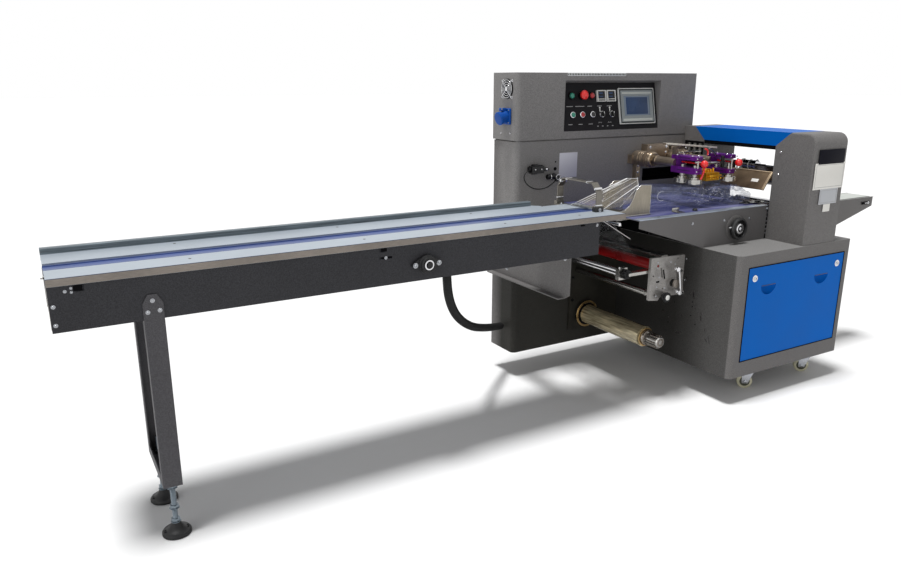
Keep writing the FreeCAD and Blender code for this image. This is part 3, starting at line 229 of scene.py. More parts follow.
BLUE_STRIP = finish("blue_wear_strip", srgb(62, 82, 138), 0.42, grain=40,
                    stretch=(1, 20, 20), contrast=0.16, bump=0.04, blotch=5, mottle=0.2)
RED_RUBBER = finish("red_roller_rubber", srgb(134, 12, 14), 0.3, grain=300, contrast=0.16, bump=0.1,
                    blotch=18, mottle=0.4, specular=0.25)
CREAM_TREAD = finish("cream_tread", srgb(204, 200, 172), 0.35, grain=400, contrast=0.06, bump=0.05)
# Wound film on the reel: its light and dark streaks along the length are painted sheen, besides the real gloss of its
# low roughness and coat.
REEL_FILM = finish("wound_film_with_painted_sheen", srgb(184, 172, 140), 0.22, 0.45, grain=46,
                   stretch=(3, 0.25, 3), contrast=0.5, bump=0.12, blotch=10, mottle=0.3, coat=0.3)
GOLD_RING = finish("golden_ring", srgb(176, 146, 98), 0.3, 0.7, grain=200, contrast=0.25, bump=0.05)
PAPER = finish("label_paper", srgb(226, 224, 218), 0.6, grain=900, contrast=0.03, bump=0.02)
LILAC_PAPER = finish("lilac_paper", srgb(196, 196, 206), 0.6, grain=900, contrast=0.04, bump=0.02)
SILVER_LABEL = finish("silver_label", srgb(172, 174, 178), 0.4, 0.4, grain=700, contrast=0.08, bump=0.03)
BLACK_LABEL = finish("black_label", srgb(20, 20, 28), 0.5, grain=600, contrast=0.12, bump=0.02,
                     specular=0.04)
SCREEN = finish("screen_glass", srgb(62, 80, 112), 0.25, grain=16, contrast=0.14, bump=0.0, mottle=0.2,
                specular=0.1)
SCREEN_EDGE = finish("screen_border", srgb(116, 130, 146), 0.3, grain=900, contrast=0.05, bump=0.02)
DARK_STEEL = finish("dark_steel", srgb(92, 90, 86), 0.4, 0.8, grain=300, contrast=0.2, bump=0.05)
MOUNT_PLATE_WITH_PAINTED_SHADE = finish("dark_mounting_plate_with_painted_shade", srgb(50, 48, 43), 0.45, grain=60, stretch=(1, 1, 14),
                     contrast=0.22, bump=0.06, blotch=9, mottle=0.4, specular=0.15)
# Near-black painted shade: fills for slots, holes, gaps and hollows that have no opening in the model, and sheets where
# the machine lies in deep shade.
PAINTED_SHADE_BLACK = finish("near_black_shade", srgb(16, 16, 18), 0.8, grain=700, contrast=0.2, bump=0.1,
                       specular=0.03)
VENT_METAL = finish("vent_strip", srgb(196, 198, 198), 0.4, 0.7, grain=400, contrast=0.1, bump=0.05)


DARK_LINE = finish("dark_blue_edge", srgb(38, 52, 84), 0.4, 0.2, grain=60, stretch=(1, 20, 20), contrast=0.3,
                   bump=0.05)
TRIM_STEEL = finish("brown_grey_trim", srgb(134, 126, 118), 0.4, 0.35, grain=50, stretch=(1, 24, 24),
                    contrast=0.22, bump=0.08, blotch=8, mottle=0.25)
GREY_INK = finish("printed_grey", srgb(150, 150, 150), 0.6, grain=900, contrast=0.1, bump=0.02)
DECK_STRIP = finish("deck_strip", srgb(158, 168, 182), 0.32, 0.5, grain=40, stretch=(1, 14, 14), contrast=0.2,
                    bump=0.06, blotch=10, mottle=0.3)
BRONZE_LIGHT = finish("light_bronze", srgb(158, 142, 122), 0.28, 1.0, grain=160, contrast=0.2, bump=0.05,
                      mottle=0.2)
# A darker copy of the purple anodising: painted shade in the grooves of the purple blocks.
PURPLE_GROOVE_PAINTED_SHADE = finish("purple_groove_painted_shade", srgb(52, 8, 74), 0.5, 0.3, grain=300, contrast=0.2, bump=0.03)
BAR_LIGHT = finish("light_slotted_strip", srgb(206, 200, 188), 0.4, 0.1, grain=160, contrast=0.16, bump=0.05)
# A lighter copy of the guard's brown plate: painted highlight on the guard's folded rims.
GUARD_FOLD_HIGHLIGHT = finish("guard_fold_painted_highlight", srgb(176, 156, 128), 0.35, 0.6, grain=120, contrast=0.3, bump=0.05)
DEEP_BLUE = finish("shaded_blue", srgb(8, 44, 96), 0.5, grain=500, contrast=0.08, bump=0.03)
DARK_HUB = finish("dark_wheel_hub", srgb(70, 72, 58), 0.5, 0.2, grain=300, contrast=0.2, bump=0.05)
CONE_STEEL = finish("cone_steel", srgb(132, 124, 116), 0.22, 0.9, grain=200, contrast=0.16, bump=0.05)
ROD_STEEL = finish("threaded_rod_steel", srgb(120, 130, 138), 0.3, 0.9, grain=200, contrast=0.16, bump=0.05)
LIGHT_EDGE = finish("light_paint_edge", srgb(150, 150, 148), 0.4, grain=900, contrast=0.12, bump=0.1)


def film_material(name, tint, low, high, scale, stretch):
    """Clear wrapping film: bright creases on an almost invisible sheet. The creases are painted highlights, the tint
    made opaque along a noise, and the same noise bumps the surface.
    """
    material, tree, shader = new_material(name)
    creases = pattern(tree, scale, stretch=stretch, detail=6.0, roughness=0.65)
    folds = ramp(tree, creases, (low,) * 3, (high,) * 3, 0.46, 0.66)
    tree.links.new(folds.outputs["Color"], shader.inputs["Alpha"])
    relief = add(tree, "ShaderNodeBump", Strength=0.7, Distance=0.004)
    tree.links.new(creases.outputs[0], relief.inputs["Height"])
    tree.links.new(relief.outputs["Normal"], shader.inputs["Normal"])
    shader.inputs["Base Color"].default_value = (*tint, 1)
    shader.inputs["Roughness"].default_value = 0.12
    shader.inputs["Coat Weight"].default_value = 0.4
    return material


TUBE_FILM = film_material("clear_tube_film", srgb(112, 120, 158), 0.22, 0.55, 16, (1, 2.2, 2.2))
FAN_FILM = film_material("clear_fan_film", srgb(150, 142, 126), 0.34, 0.80, 22, (0.5, 6, 3))
WEB_FILM = film_material("clear_web_film", srgb(206, 208, 210), 0.05, 0.22, 20, (3, 5, 1))
# Opaque near-white for the film's bright creases: painted highlights on the clear film.
FILM_CREASE_HIGHLIGHT = finish("painted_highlight_film_crease", srgb(238, 238, 238), 0.2, 0.1, grain=300, contrast=0.08, bump=0.1,
                coat=0.4)


def protective_film():
    """The deck's skirt stays painted; its top carries violet protective film with a pale middle."""
    material = finish("deck_paint_and_film", srgb(108, 106, 106), 0.5, grain=380, contrast=0.30, bump=0.3,
                      blotch=3, mottle=0.12, specular=0.2)
    tree = material.node_tree
    shader = tree.nodes["Principled BSDF"]
    paint = shader.inputs["Base Color"].links[0].from_socket
    bands = ramp(tree, pattern(tree, 5, stretch=(0.6, 3, 1), detail=4.0), srgb(44, 48, 104),
                 srgb(112, 114, 150), 0.36, 0.66)
    mask = along_axis(tree, "Z", 0.7975, 0.7985)
    tree.links.new(blend_by(tree, mask, paint, bands.outputs["Color"]), shader.inputs["Base Color"])
    return material


DECK_TOP = protective_film()
overlay(BED_STEEL, "Z", 0.8395, 0.8405, srgb(104, 114, 120), 26, (0.3, 24, 24), 0.6)
# Tall cabinet: the low painted shade gives way higher up to paint lighter than the plain grey, as painted light; the
# rear faces keep the plain grey.
overlay(TALL_CABINET_PAINTED_SHADE_AND_LIGHT, "Z", 0.62, 0.78, srgb(134, 132, 131), 380, (1, 1, 1), 0.3)
overlay(TALL_CABINET_PAINTED_SHADE_AND_LIGHT, "Y", 0.36, 0.43, srgb(114, 112, 111), 380, (1, 1, 1), 0.3)
# Lower cabinet: painted shade on its left side, deepest towards the rear; the faces past that side keep the plain grey,
# and the top is painted lighter as painted light.
overlay(LOWER_CABINET_PAINTED_SHADE_AND_LIGHT, "Y", -0.12, -0.36, srgb(84, 83, 82), 380, (1, 1, 1), 0.3)
overlay(LOWER_CABINET_PAINTED_SHADE_AND_LIGHT, "X", 0.5815, 0.5825, srgb(112, 110, 109), 380, (1, 1, 1), 0.3)
overlay(LOWER_CABINET_PAINTED_SHADE_AND_LIGHT, "Z", 0.6485, 0.6495, srgb(128, 127, 126), 380, (1, 1, 1), 0.3)
# The film mounting plate darkens to near-black towards its top, under the deck: painted shade.
overlay(MOUNT_PLATE_WITH_PAINTED_SHADE, "Z", 0.50, 0.66, srgb(18, 18, 18), 300, (1, 1, 1), 0.2)
GRADED_SKIRT = finish("skirt_paint", srgb(61, 61, 64), 0.55, grain=380, contrast=0.25, bump=0.3,
                      blotch=3, mottle=0.2, specular=0.1)

FINISHES = {
    "grey_paint": GREY_PAINT, "blue_paint": BLUE_PAINT, "stainless": STAINLESS, "steel": BRIGHT_STEEL,
    "zinc": ZINC, "chrome_ring": CHROME, "aluminium": ALUMINIUM, "purple_anodised": PURPLE, "brass": BRASS,
    "black_iron": BLACK_IRON, "black_plastic": BLACK_PLASTIC, "light_plastic": LIGHT_PLASTIC,
    "blue_plastic": BLUE_PLASTIC, "red_plastic": RED_PLASTIC, "blue_strip": BLUE_STRIP,
    "black_rubber": RUBBER, "red_rubber": RED_RUBBER, "castor_tread": CREAM_TREAD,
    "clear_film": TUBE_FILM, "film_reel": REEL_FILM, "belt": LIGHT_PLASTIC,
}
SLOT_OF = {material: slot for slot, material in FINISHES.items()}
SLOT_OF.update({
    DARK_PAINT: "grey_paint", TALL_CABINET_PAINTED_SHADE_AND_LIGHT: "grey_paint", HEAD_PAINTED_LIGHT: "grey_paint", LOWER_CABINET_PAINTED_SHADE_AND_LIGHT: "grey_paint", BRONZED: "stainless", GUARD_PLATE: "stainless", FORMER_SHEET: "stainless",
    ARCH_STRAP: "stainless", BED_STEEL: "stainless", BLACK_GLOSS: "black_plastic",
    PANEL_PLATE: "black_plastic", WHITE_PLASTIC: "light_plastic", SILVER_PLASTIC: "light_plastic",
    DARK_RED: "red_plastic", ROD_STEEL: "zinc", DARK_STEEL: "steel", MOUNT_PLATE_WITH_PAINTED_SHADE: "steel", FAN_FILM: "clear_film",
    WEB_FILM: "clear_film", FILM_CREASE_HIGHLIGHT: "clear_film", VENT_METAL: "zinc",
})
NODE_FINISHES = {
    "infeed_skirt": GRADED_SKIRT, "leg_frame": DARK_PAINT, "infeed_bed": BED_STEEL, "deck": DECK_TOP,
    "jaw_guard": GUARD_PLATE, "seal_arm": BRONZED, "bag_former": FORMER_SHEET, "guide_arch": ARCH_STRAP,
    "control_panel": PANEL_PLATE, "touch_screen": SILVER_PLASTIC, "temperature_controllers": WHITE_PLASTIC,
    "film_mount_plate": MOUNT_PLATE_WITH_PAINTED_SHADE, "end_jaws": CHROME, "control_head": HEAD_PAINTED_LIGHT, "tall_cabinet": TALL_CABINET_PAINTED_SHADE_AND_LIGHT, "lower_cabinet": LOWER_CABINET_PAINTED_SHADE_AND_LIGHT,
}


def dress_nodes():
    """Every CAD node takes its slot's finish, or one of its own."""
    for row in frame["record"]["subparts"]:
        node = NODES[row["node"]]
        material = NODE_FINISHES.get(row["node"], FINISHES[row["material_slot"]])
        node.data.materials.clear()
        node.data.materials.append(material)


# ---------------------------------------------------------------- forms

class Piece:
    """One piece of the machine, put together from simple forms drawn in the shop datum."""

    def __init__(self, name, material, body="frame", turn=None):
        self.name = name
        self.material = material
        self.body = body
        self.place = turn or Matrix.Identity(4)
        self.mesh = bmesh.new()

    def take(self, form):
        """Adds a form and empties it."""
        form.normal_update()
        scratch = bpy.data.meshes.new("scratch")
        form.to_mesh(scratch)
        form.free()
        self.mesh.from_mesh(scratch)
        bpy.data.meshes.remove(scratch)
        return self

    def block(self, low, high, bevel=0.0, segments=2):
        form = bmesh.new()
        low, high = Vector(low), Vector(high)
        size = high - low
        bmesh.ops.create_cube(form, size=1, matrix=Matrix.Translation((low + high) / 2)
                              @ Matrix.Diagonal((*size, 1)))
        if bevel:
            bmesh.ops.bevel(form, geom=form.edges[:], offset=bevel, segments=segments, profile=0.5,
                            affect="EDGES", material=-1)
        return self.take(form)

    def prism(self, points, direction, bevel=0.0, segments=2):
        """A flat outline of 3-D points pushed along a direction."""
        form = bmesh.new()
        face = form.faces.new([form.verts.new(point) for point in points])
        made = bmesh.ops.extrude_face_region(form, geom=[face])
        moved = [item for item in made["geom"] if isinstance(item, bmesh.types.BMVert)]
        bmesh.ops.translate(form, verts=moved, vec=direction)
        bmesh.ops.recalc_face_normals(form, faces=form.faces[:])
        if bevel:
            bmesh.ops.bevel(form, geom=form.edges[:], offset=bevel, segments=segments, profile=0.5,
                            affect="EDGES", material=-1)
        return self.take(form)

    def rod(self, start, end, radius, segments=32, bevel=0.0, end_radius=None):
        """A round bar between two points."""
        start, end = Vector(start), Vector(end)
        form = bmesh.new()
        turn = (end - start).to_track_quat("Z", "Y").to_matrix().to_4x4()
        bmesh.ops.create_cone(form, cap_ends=True, segments=segments, radius1=radius,
                              radius2=radius if end_radius is None else end_radius,
                              depth=(end - start).length,
                              matrix=Matrix.Translation((start + end) / 2) @ turn)
        if bevel:
            rims = [edge for edge in form.edges
                    if any(len(face.verts) > 4 for face in edge.link_faces)]
            bmesh.ops.bevel(form, geom=rims, offset=bevel, segments=2, profile=0.5,
                            affect="EDGES", material=-1)
        return self.take(form)

    def lathe(self, origin, axis, profile, segments=40):
        """A turned form: profile points are (along the axis, radius)."""
        form = bmesh.new()
        verts = [form.verts.new((radius, 0, along)) for along, radius in profile]
        edges = [form.edges.new(pair) for pair in zip(verts, verts[1:])]
        bmesh.ops.spin(form, geom=verts + edges, cent=(0, 0, 0), axis=(0, 0, 1), angle=math.tau,
                       steps=segments, use_merge=True)
        bmesh.ops.remove_doubles(form, verts=form.verts[:], dist=0.0005)
        bmesh.ops.recalc_face_normals(form, faces=form.faces[:])
        turn = Vector(axis).to_track_quat("Z", "Y").to_matrix().to_4x4()
        bmesh.ops.transform(form, matrix=Matrix.Translation(origin) @ turn, verts=form.verts[:])
        return self.take(form)

    def ring(self, origin, axis, radius, wire, segments=48):
        """A wire ring."""
        steps = 10
        section = [(wire * math.sin(math.tau * step / steps), radius + wire * math.cos(math.tau * step / steps))
                   for step in range(steps + 1)]
        return self.lathe(origin, axis, section, segments)

    def screw(self, point, axis, radius, height=None, washer=True):
        """A socket-head screw with its washer."""
        height = height or radius * 0.9
        head = [(0, radius), (height * 0.8, radius), (height, radius * 0.85), (height, radius * 0.5),
                (height * 0.5, radius * 0.46), (height * 0.5, 0)]
        if washer:
            head = [(0, radius * 1.5), (radius * 0.15, radius * 1.5), (radius * 0.15, radius)] + head[1:]
        return self.lathe(point, axis, head, 18)

    def done(self, smooth=38):
        """The finished piece, in place and riding on its body."""
        bmesh.ops.transform(self.mesh, matrix=TO_FRAME @ self.place, verts=self.mesh.verts[:])
        data = bpy.data.meshes.new(self.name)
        self.mesh.to_mesh(data)
        self.mesh.free()
        data.materials.append(self.material)
        data.shade_smooth()
        data.set_sharp_from_angle(angle=math.radians(smooth))
        piece = bpy.data.objects.new(self.name, data)
        bpy.context.scene.collection.objects.link(piece)
        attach(piece, self.body)
        return piece


# ---------------------------------------------------------------- cords

HOSE_ROUTE = [(1257, 122, 710), (1259, 124, 618), (1292, 153, 532), (1362, 214, 452),
              (1487, 323, 366), (1640, 456, 298), (1758, 559, 253), (1821, 611, 232)]
HOSE_DIAMETER = 34
LEAD_ROUTE = [(1896, 514, 958), (1868, 511, 950), (1858, 507, 918), (1884, 503, 888),
              (1926, 501, 872), (1974, 500, 876), (2001, 500, 888), (2021, 500, 902)]
LEAD_DIAMETER = 5


def route_curve(name, route):
    """A smooth open spline with the route's points as its control points."""
    curve = bpy.data.curves.new(name, "CURVE")
    curve.dimensions = "3D"
    curve.resolution_u = 24
    spline = curve.splines.new("NURBS")
    spline.points.add(len(route) - 1)
    for point, place in zip(spline.points, route):
        point.co = (*at(*place), 1)
    spline.order_u = 3
    spline.use_endpoint_u = True
    return curve


def line_of(curve):
    """The points along a curve that has no bevel."""
    holder = bpy.data.objects.new("line", curve)
    bpy.context.scene.collection.objects.link(holder)
    bpy.context.view_layer.update()
    mesh = bpy.data.meshes.new_from_object(holder)
    points = [vertex.co.copy() for vertex in mesh.vertices]
    bpy.data.objects.remove(holder)
    bpy.data.meshes.remove(mesh)
    return points


def spaced(points, count):
    """The same line as a number of equally spaced points, and its length."""
    marks = [0.0]
    for start, end in zip(points, points[1:]):
        marks.append(marks[-1] + (end - start).length)
    result = []
    index = 0
    for step in range(count + 1):
        wanted = marks[-1] * step / count
        while index < len(points) - 2 and marks[index + 1] < wanted:
            index += 1
        share = (wanted - marks[index]) / (marks[index + 1] - marks[index])
        result.append(points[index].lerp(points[index + 1], share))
    return result, marks[-1]


def corrugated_hose():
    """Black corrugated conduit: a tube whose radius rises and falls along its line."""
    points, length = spaced(line_of(route_curve("hose_line", HOSE_ROUTE)), 760)
    sides = 20
    mesh = bmesh.new()
    rows = len(points)
    bmesh.ops.create_grid(mesh, x_segments=rows - 1, y_segments=sides, size=0.5)
    mesh.verts.ensure_lookup_table()
    order = sorted(mesh.verts, key=lambda vert: (round(vert.co.x, 6), round(vert.co.y, 6)))
    side = Vector((0, 1, 0))
    for row in range(rows):
        forward = (points[min(row + 1, rows - 1)] - points[max(row - 1, 0)]).normalized()
        side = (side - forward * side.dot(forward)).normalized()
        across = forward.cross(side)
        wave = 0.5 + 0.5 * math.cos(math.tau * row / 5)
        radius = HOSE_DIAMETER / 2000 * (0.90 + 0.10 * wave)
        for column in range(sides + 1):
            angle = math.tau * column / sides
            vert = order[row * (sides + 1) + column]
            vert.co = points[row] + (side * math.cos(angle) + across * math.sin(angle)) * radius
    bmesh.ops.remove_doubles(mesh, verts=mesh.verts[:], dist=0.00002)
    bmesh.ops.holes_fill(mesh, edges=[edge for edge in mesh.edges if edge.is_boundary], sides=0)
    bmesh.ops.recalc_face_normals(mesh, faces=mesh.faces[:])
    data = bpy.data.meshes.new("corrugated_hose")
    mesh.to_mesh(data)
    mesh.free()
    data.materials.append(RUBBER)
    data.shade_smooth()
    hose = bpy.data.objects.new("corrugated_hose", data)
    bpy.context.scene.collection.objects.link(hose)
    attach(hose, "frame")
    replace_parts(hose, "cable_hose")


def sensor_cord():
    curve = route_curve("sensor_cord", LEAD_ROUTE)
    points, length = spaced(line_of(curve), 40)
    curve.bevel_depth = LEAD_DIAMETER / 2000
    curve.bevel_resolution = 5
    curve.use_fill_caps = True
    curve.materials.append(RUBBER)
    cord = bpy.data.objects.new("sensor_cord", curve)
    bpy.context.scene.collection.objects.link(cord)
    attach(cord, "frame")
    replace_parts(cord, "sensor_lead")


# ---------------------------------------------------------------- infeed conveyor

FRONT = (0, -1, 0)
LEFT = (-1, 0, 0)
UP = (0, 0, 1)


def infeed():
    """Edge trims, screws, drive bearing details and the end of the slot drive."""
    # The two thin lines along the slot's edges are painted shade where the bed drops into the slot; the first line runs
    # along the bed's front edge.
    line = Piece("bed_edge_line", DARK_LINE)
    line.block((0, -6.4, 838.2), (1976, -3.5, 839.5))
    line.block((0, 122.6, 835), (1950, 124.6, 839.2))
    line.block((0, 190.4, 835), (1950, 191.8, 839.2))
    line.done()
    strip = Piece("slot_near_strip", BLUE_STRIP)
    strip.block((0, 105, 838.6), (1975, 122.4, 839.5))
    strip.done()
    trim = Piece("bed_front_trim", TRIM_STEEL)
    trim.block((0, -7.2, 818.5), (1976, -5.9, 838.2), 0.4)
    trim.block((1975, -7.2, 818.5), (1977.2, 60, 838.6), 0.4)
    trim.done()
    edge = Piece("skirt_end_flange", BRIGHT_STEEL)
    edge.block((-1.2, 1.5, 700), (0.2, 15, 815), 0.3)
    edge.block((-1.2, 247, 700), (0.2, 260, 815), 0.3)
    edge.rod((-9, 70, 828), (2, 70, 828), 4, 20, 0.5)
    edge.done()
    screws = Piece("infeed_screws", ZINC)
    for x, z, radius in ((10, 763, 3.8), (10, 712, 3.8), (42, 801, 3), (57, 808, 2.4), (57, 797, 2.4),
                         (964, 783, 3.6), (1841, 806, 4)):
        screws.screw((x, 0, z), FRONT, radius)
    for x, z in ((252, 746), (237, 714), (269, 716)):
        screws.screw((x, -3, z), FRONT, 4.2)
    for x in (1108 - 44, 1108 + 44):
        screws.screw((x, -13, 747), FRONT, 6)
    for x, y in ((1790, 519),):
        screws.screw((x, y, 532), LEFT, 6)
    screws.screw((1802, 133, 652), FRONT, 5)
    screws.done()
    dots = Piece("bed_countersunk_screws", DARK_STEEL)
    for x in (372, 915, 1461, 1800):
        for y in (56, 292):
            dots.lathe((x, y, 839), UP, [(0, 4.6), (0.5, 4.4), (0.5, 2.2), (0.1, 2), (0.1, 0)], 16)
    dots.done()
    ring = Piece("bearing_lock_ring", CHROME)
    ring.lathe((1108, -22, 747), FRONT, [(0, 17), (7, 17), (7.6, 16), (7.6, 12.5), (6, 12), (0, 12)], 36)
    ring.done()
    lip = Piece("bearing_casting_lip", BLACK_IRON)
    lip.lathe((1108, -13, 747), FRONT, [(0, 31.5), (3, 31), (5, 28), (13, 27), (14.4, 25.5), (14.4, 20.5),
                                        (10, 20)], 40)
    lip.done()
    # Near-black fills in the skirt's windows: painted shade inside them.
    window = Piece("skirt_windows", PAINTED_SHADE_BLACK)
    window.block((62, -0.5, 799), (84, 0.4, 815))
    window.block((948, -0.5, 779.5), (986, 0.4, 786.5))
    window.block((948, -0.5, 804), (968, 0.4, 815))
    window.block((1762, -0.5, 808), (1782, 0.4, 815))
    window.done()


def feet():
    """Swivel pads and threaded rods of the two levelling feet."""
    pads = Piece("foot_pads", BLACK_IRON)
    rods = Piece("foot_rods", ROD_STEEL)
    holes = Piece("foot_anchor_bosses", BLACK_GLOSS)
    for y in (22, 240):
        base = (252.5, y, 0)
        pads.lathe(base, UP, [(0, 0), (0, 40), (2, 43), (9, 43), (13, 40), (14, 33), (19, 27), (22, 22),
                              (34, 15), (42, 13), (42, 0)], 48)
        thread = [(40, 0), (40, 7)]
        for step in range(62):
            thread += [(42 + step * 3, 7), (43.5 + step * 3, 8.2)]
        thread += [(228, 7), (228, 0)]
        rods.lathe(base, UP, thread, 18)
        for z, height in ((42, 11), (88, 10), (156, 12), (173, 12)):
            rods.rod((252.5, y, z), (252.5, y, z + height), 14, 6, 1.2)
            rods.rod((252.5, y, z - 1.8), (252.5, y, z), 15, 24, 0.5)
        for side in (-1, 1):
            holes.lathe((252.5 + 30 * side, y, 13), UP,
                        [(0, 7.5), (3, 7.5), (3.6, 6.8), (3.6, 4.6), (0, 4.4)], 20)
    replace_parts(pads.done(), "levelling_feet")
    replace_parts(rods.done(), "levelling_feet")
    holes.done()


# ---------------------------------------------------------------- tall cabinet

def cabinet():
    """Vent strip, fan with its guard, sticker and holes on the tall cabinet."""
    strip = Piece("vent_strip", VENT_METAL)
    strip.block((2091, 525.6, 1351), (2425, 527.4, 1364), 0.5)
    strip.done()
    # Near-black fills in the strip's slots: painted shade inside them.
    slots = Piece("vent_strip_slots", PAINTED_SHADE_BLACK)
    for index in range(38):
        left = 2094 + index * 8.7
        slots.block((left, 525.2, 1353.5), (left + 4.6, 526, 1361.5))
    slots.done()
    seam = Piece("head_seam", DARK_STEEL)
    seam.block((1858, 526.9, 1077.4), (2876, 530, 1078.2))
    seam.block((1828.8, 552, 1077.4), (1835.2, 704, 1078.2))
    seam.done()

    guard = Piece("fan_guard_wires", CHROME)
    centre = Vector((1823, 600, 1297))
    for radius in (37, 28, 19):
        guard.ring(centre, LEFT, radius, 1.3, 36)
    guard.lathe(centre, LEFT, [(0, 9), (2, 9), (2.6, 8), (2.6, 0)], 24)
    for step in range(4):
        angle = math.radians(45 + 90 * step)
        tip = centre + Vector((0, math.cos(angle), math.sin(angle))) * 47
        guard.rod(centre, tip, 1.3, 10)
        guard.screw(tip + Vector((6, 0, 0)), LEFT, 4.2, 7)
    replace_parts(guard.done(), "fan_guard")
    fan = Piece("fan_rotor", BLACK_GLOSS)
    fan.lathe((1829, 600, 1297), LEFT, [(0, 42), (1.4, 42), (1.8, 41), (1.8, 38), (0.6, 37), (0.6, 0)], 40)
    fan.lathe((1828, 600, 1297), LEFT, [(0, 15), (2.5, 15), (3, 14), (3, 0)], 28)
    for step in range(7):
        angle = math.tau * step / 7
        across = Vector((0, math.cos(angle), math.sin(angle)))
        side = Vector((0, -math.sin(angle), math.cos(angle)))
        root = Vector((1828, 600, 1297))
        fan.prism([root + across * 14 - side * 4, root + across * 35 - side * 6,
                   root + across * 35 + side * 8, root + across * 14 + side * 3], (-1.6, 0, 0))
    fan.done()
    badge = Piece("fan_hub_disc", SILVER_LABEL)
    badge.lathe((1824.8, 600, 1297), LEFT, [(0, 11), (0.5, 11), (0.5, 0)], 28)
    badge.done()

    screws = Piece("cabinet_screws", CHROME)
    for y, z in ((642, 1110), (572, 1112)):
        screws.screw((1829, y, z), LEFT, 3.6, washer=False)
    screws.done()

    sticker = Piece("bare_sticker", LILAC_PAPER)
    sticker.block((2066, 529.3, 911), (2167, 530.2, 1021), 0.2)
    sticker.done()
    # Near-black fills in the two blind holes and lining the walls of the pocket: painted shade in the hollows.
    holes = Piece("cabinet_blind_holes", PAINTED_SHADE_BLACK)
    holes.lathe((2044, 531, 953), FRONT, [(0, 8.2), (1.4, 8.2), (1.6, 7.6), (0.4, 7.4), (0.4, 0)], 28)
    holes.lathe((2045, 531, 984), FRONT, [(0, 3.6), (1.4, 3.6), (1.4, 0)], 18)
    holes.block((2569, 598, 866), (2836, 599.5, 925))
    holes.block((2569, 531, 866), (2570.5, 599, 925))
    holes.block((2834.5, 531, 866), (2836, 599, 925))
    holes.block((2569, 531, 866), (2836, 599, 867.5))
    holes.block((2569, 531, 923.5), (2836, 599, 925))
    holes.done()


def inlet():
    """Blue power inlet, its lid closed, on a square base."""
    blue = Piece("power_inlet_body", BLUE_PLASTIC)
    blue.block((1819, 566, 1149), (1829.3, 628, 1217), 5, 3)
    low = Vector((-1, 0, -0.28)).normalized()
    root = Vector((1821, 597, 1184))
    blue.lathe(root, low, [(0, 25), (24, 25), (25, 27.5), (33, 27.5), (34, 26.5), (34, 0)], 40)
    blue.lathe(root + low * 34.4, low, [(0, 28.5), (5, 28.5), (7.5, 26), (8.2, 20), (8.2, 0)], 40)
    blue.block((1789, 588, 1205), (1819, 606, 1218), 2.5)
    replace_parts(blue.done(), "mains_inlet")
    pin = Piece("power_inlet_pin", ZINC)
    pin.rod((1793, 585, 1214), (1793, 609, 1214), 2.6, 14, 0.5)
    for y, z in ((574, 1157), (620, 1157), (574, 1209), (620, 1209)):
        pin.screw((1819, y, z), LEFT, 3, washer=False)
    pin.done()


def eye_sensor():
    """Rings and tail of the sensor and its round connector."""
    black = Piece("sensor_connector", BLACK_GLOSS)
    black.lathe((1982, 506, 923), (1, 0, 0), [(0, 0), (0, 9), (2, 11.5), (16, 12), (17, 10), (24, 10),
                                              (25, 12.5), (46, 12.5), (48, 11), (48, 0)], 32)
    black.rod((1978, 507, 958), (1994, 509, 957), 3.2, 16, 0.8)
    black.block((1886, 505, 950), (1900, 522, 970), 3)
    black.block((1905, 498, 973.5), (1952, 522, 978), 1.5)
    black.done()
    rings = Piece("sensor_chrome_rings", CHROME)
    rings.ring((2000, 506, 923), (1, 0, 0), 11, 1.6)
    rings.ring((2034, 492.5, 921), FRONT, 10.5, 1.4)
    rings.rod((1968, 500, 958), (1978, 500, 958), 5.4, 20, 0.8)
    rings.screw((1915, 500, 960), FRONT, 3, washer=False)
    rings.screw((1948, 500, 960), FRONT, 3, washer=False)
    rings.done()


# ---------------------------------------------------------------- control panel

PANEL = Matrix.Translation((2084, 527, 1115)) @ Matrix.Rotation(-math.atan(41 / 208), 4, "X")
LAMPS = {"green": (54, 153), "red": (168, 153)}
SELECTOR_FRONT = -18
KEYS = {"green": (54, 70), "red": (109, 70), "black": (168, 70)}


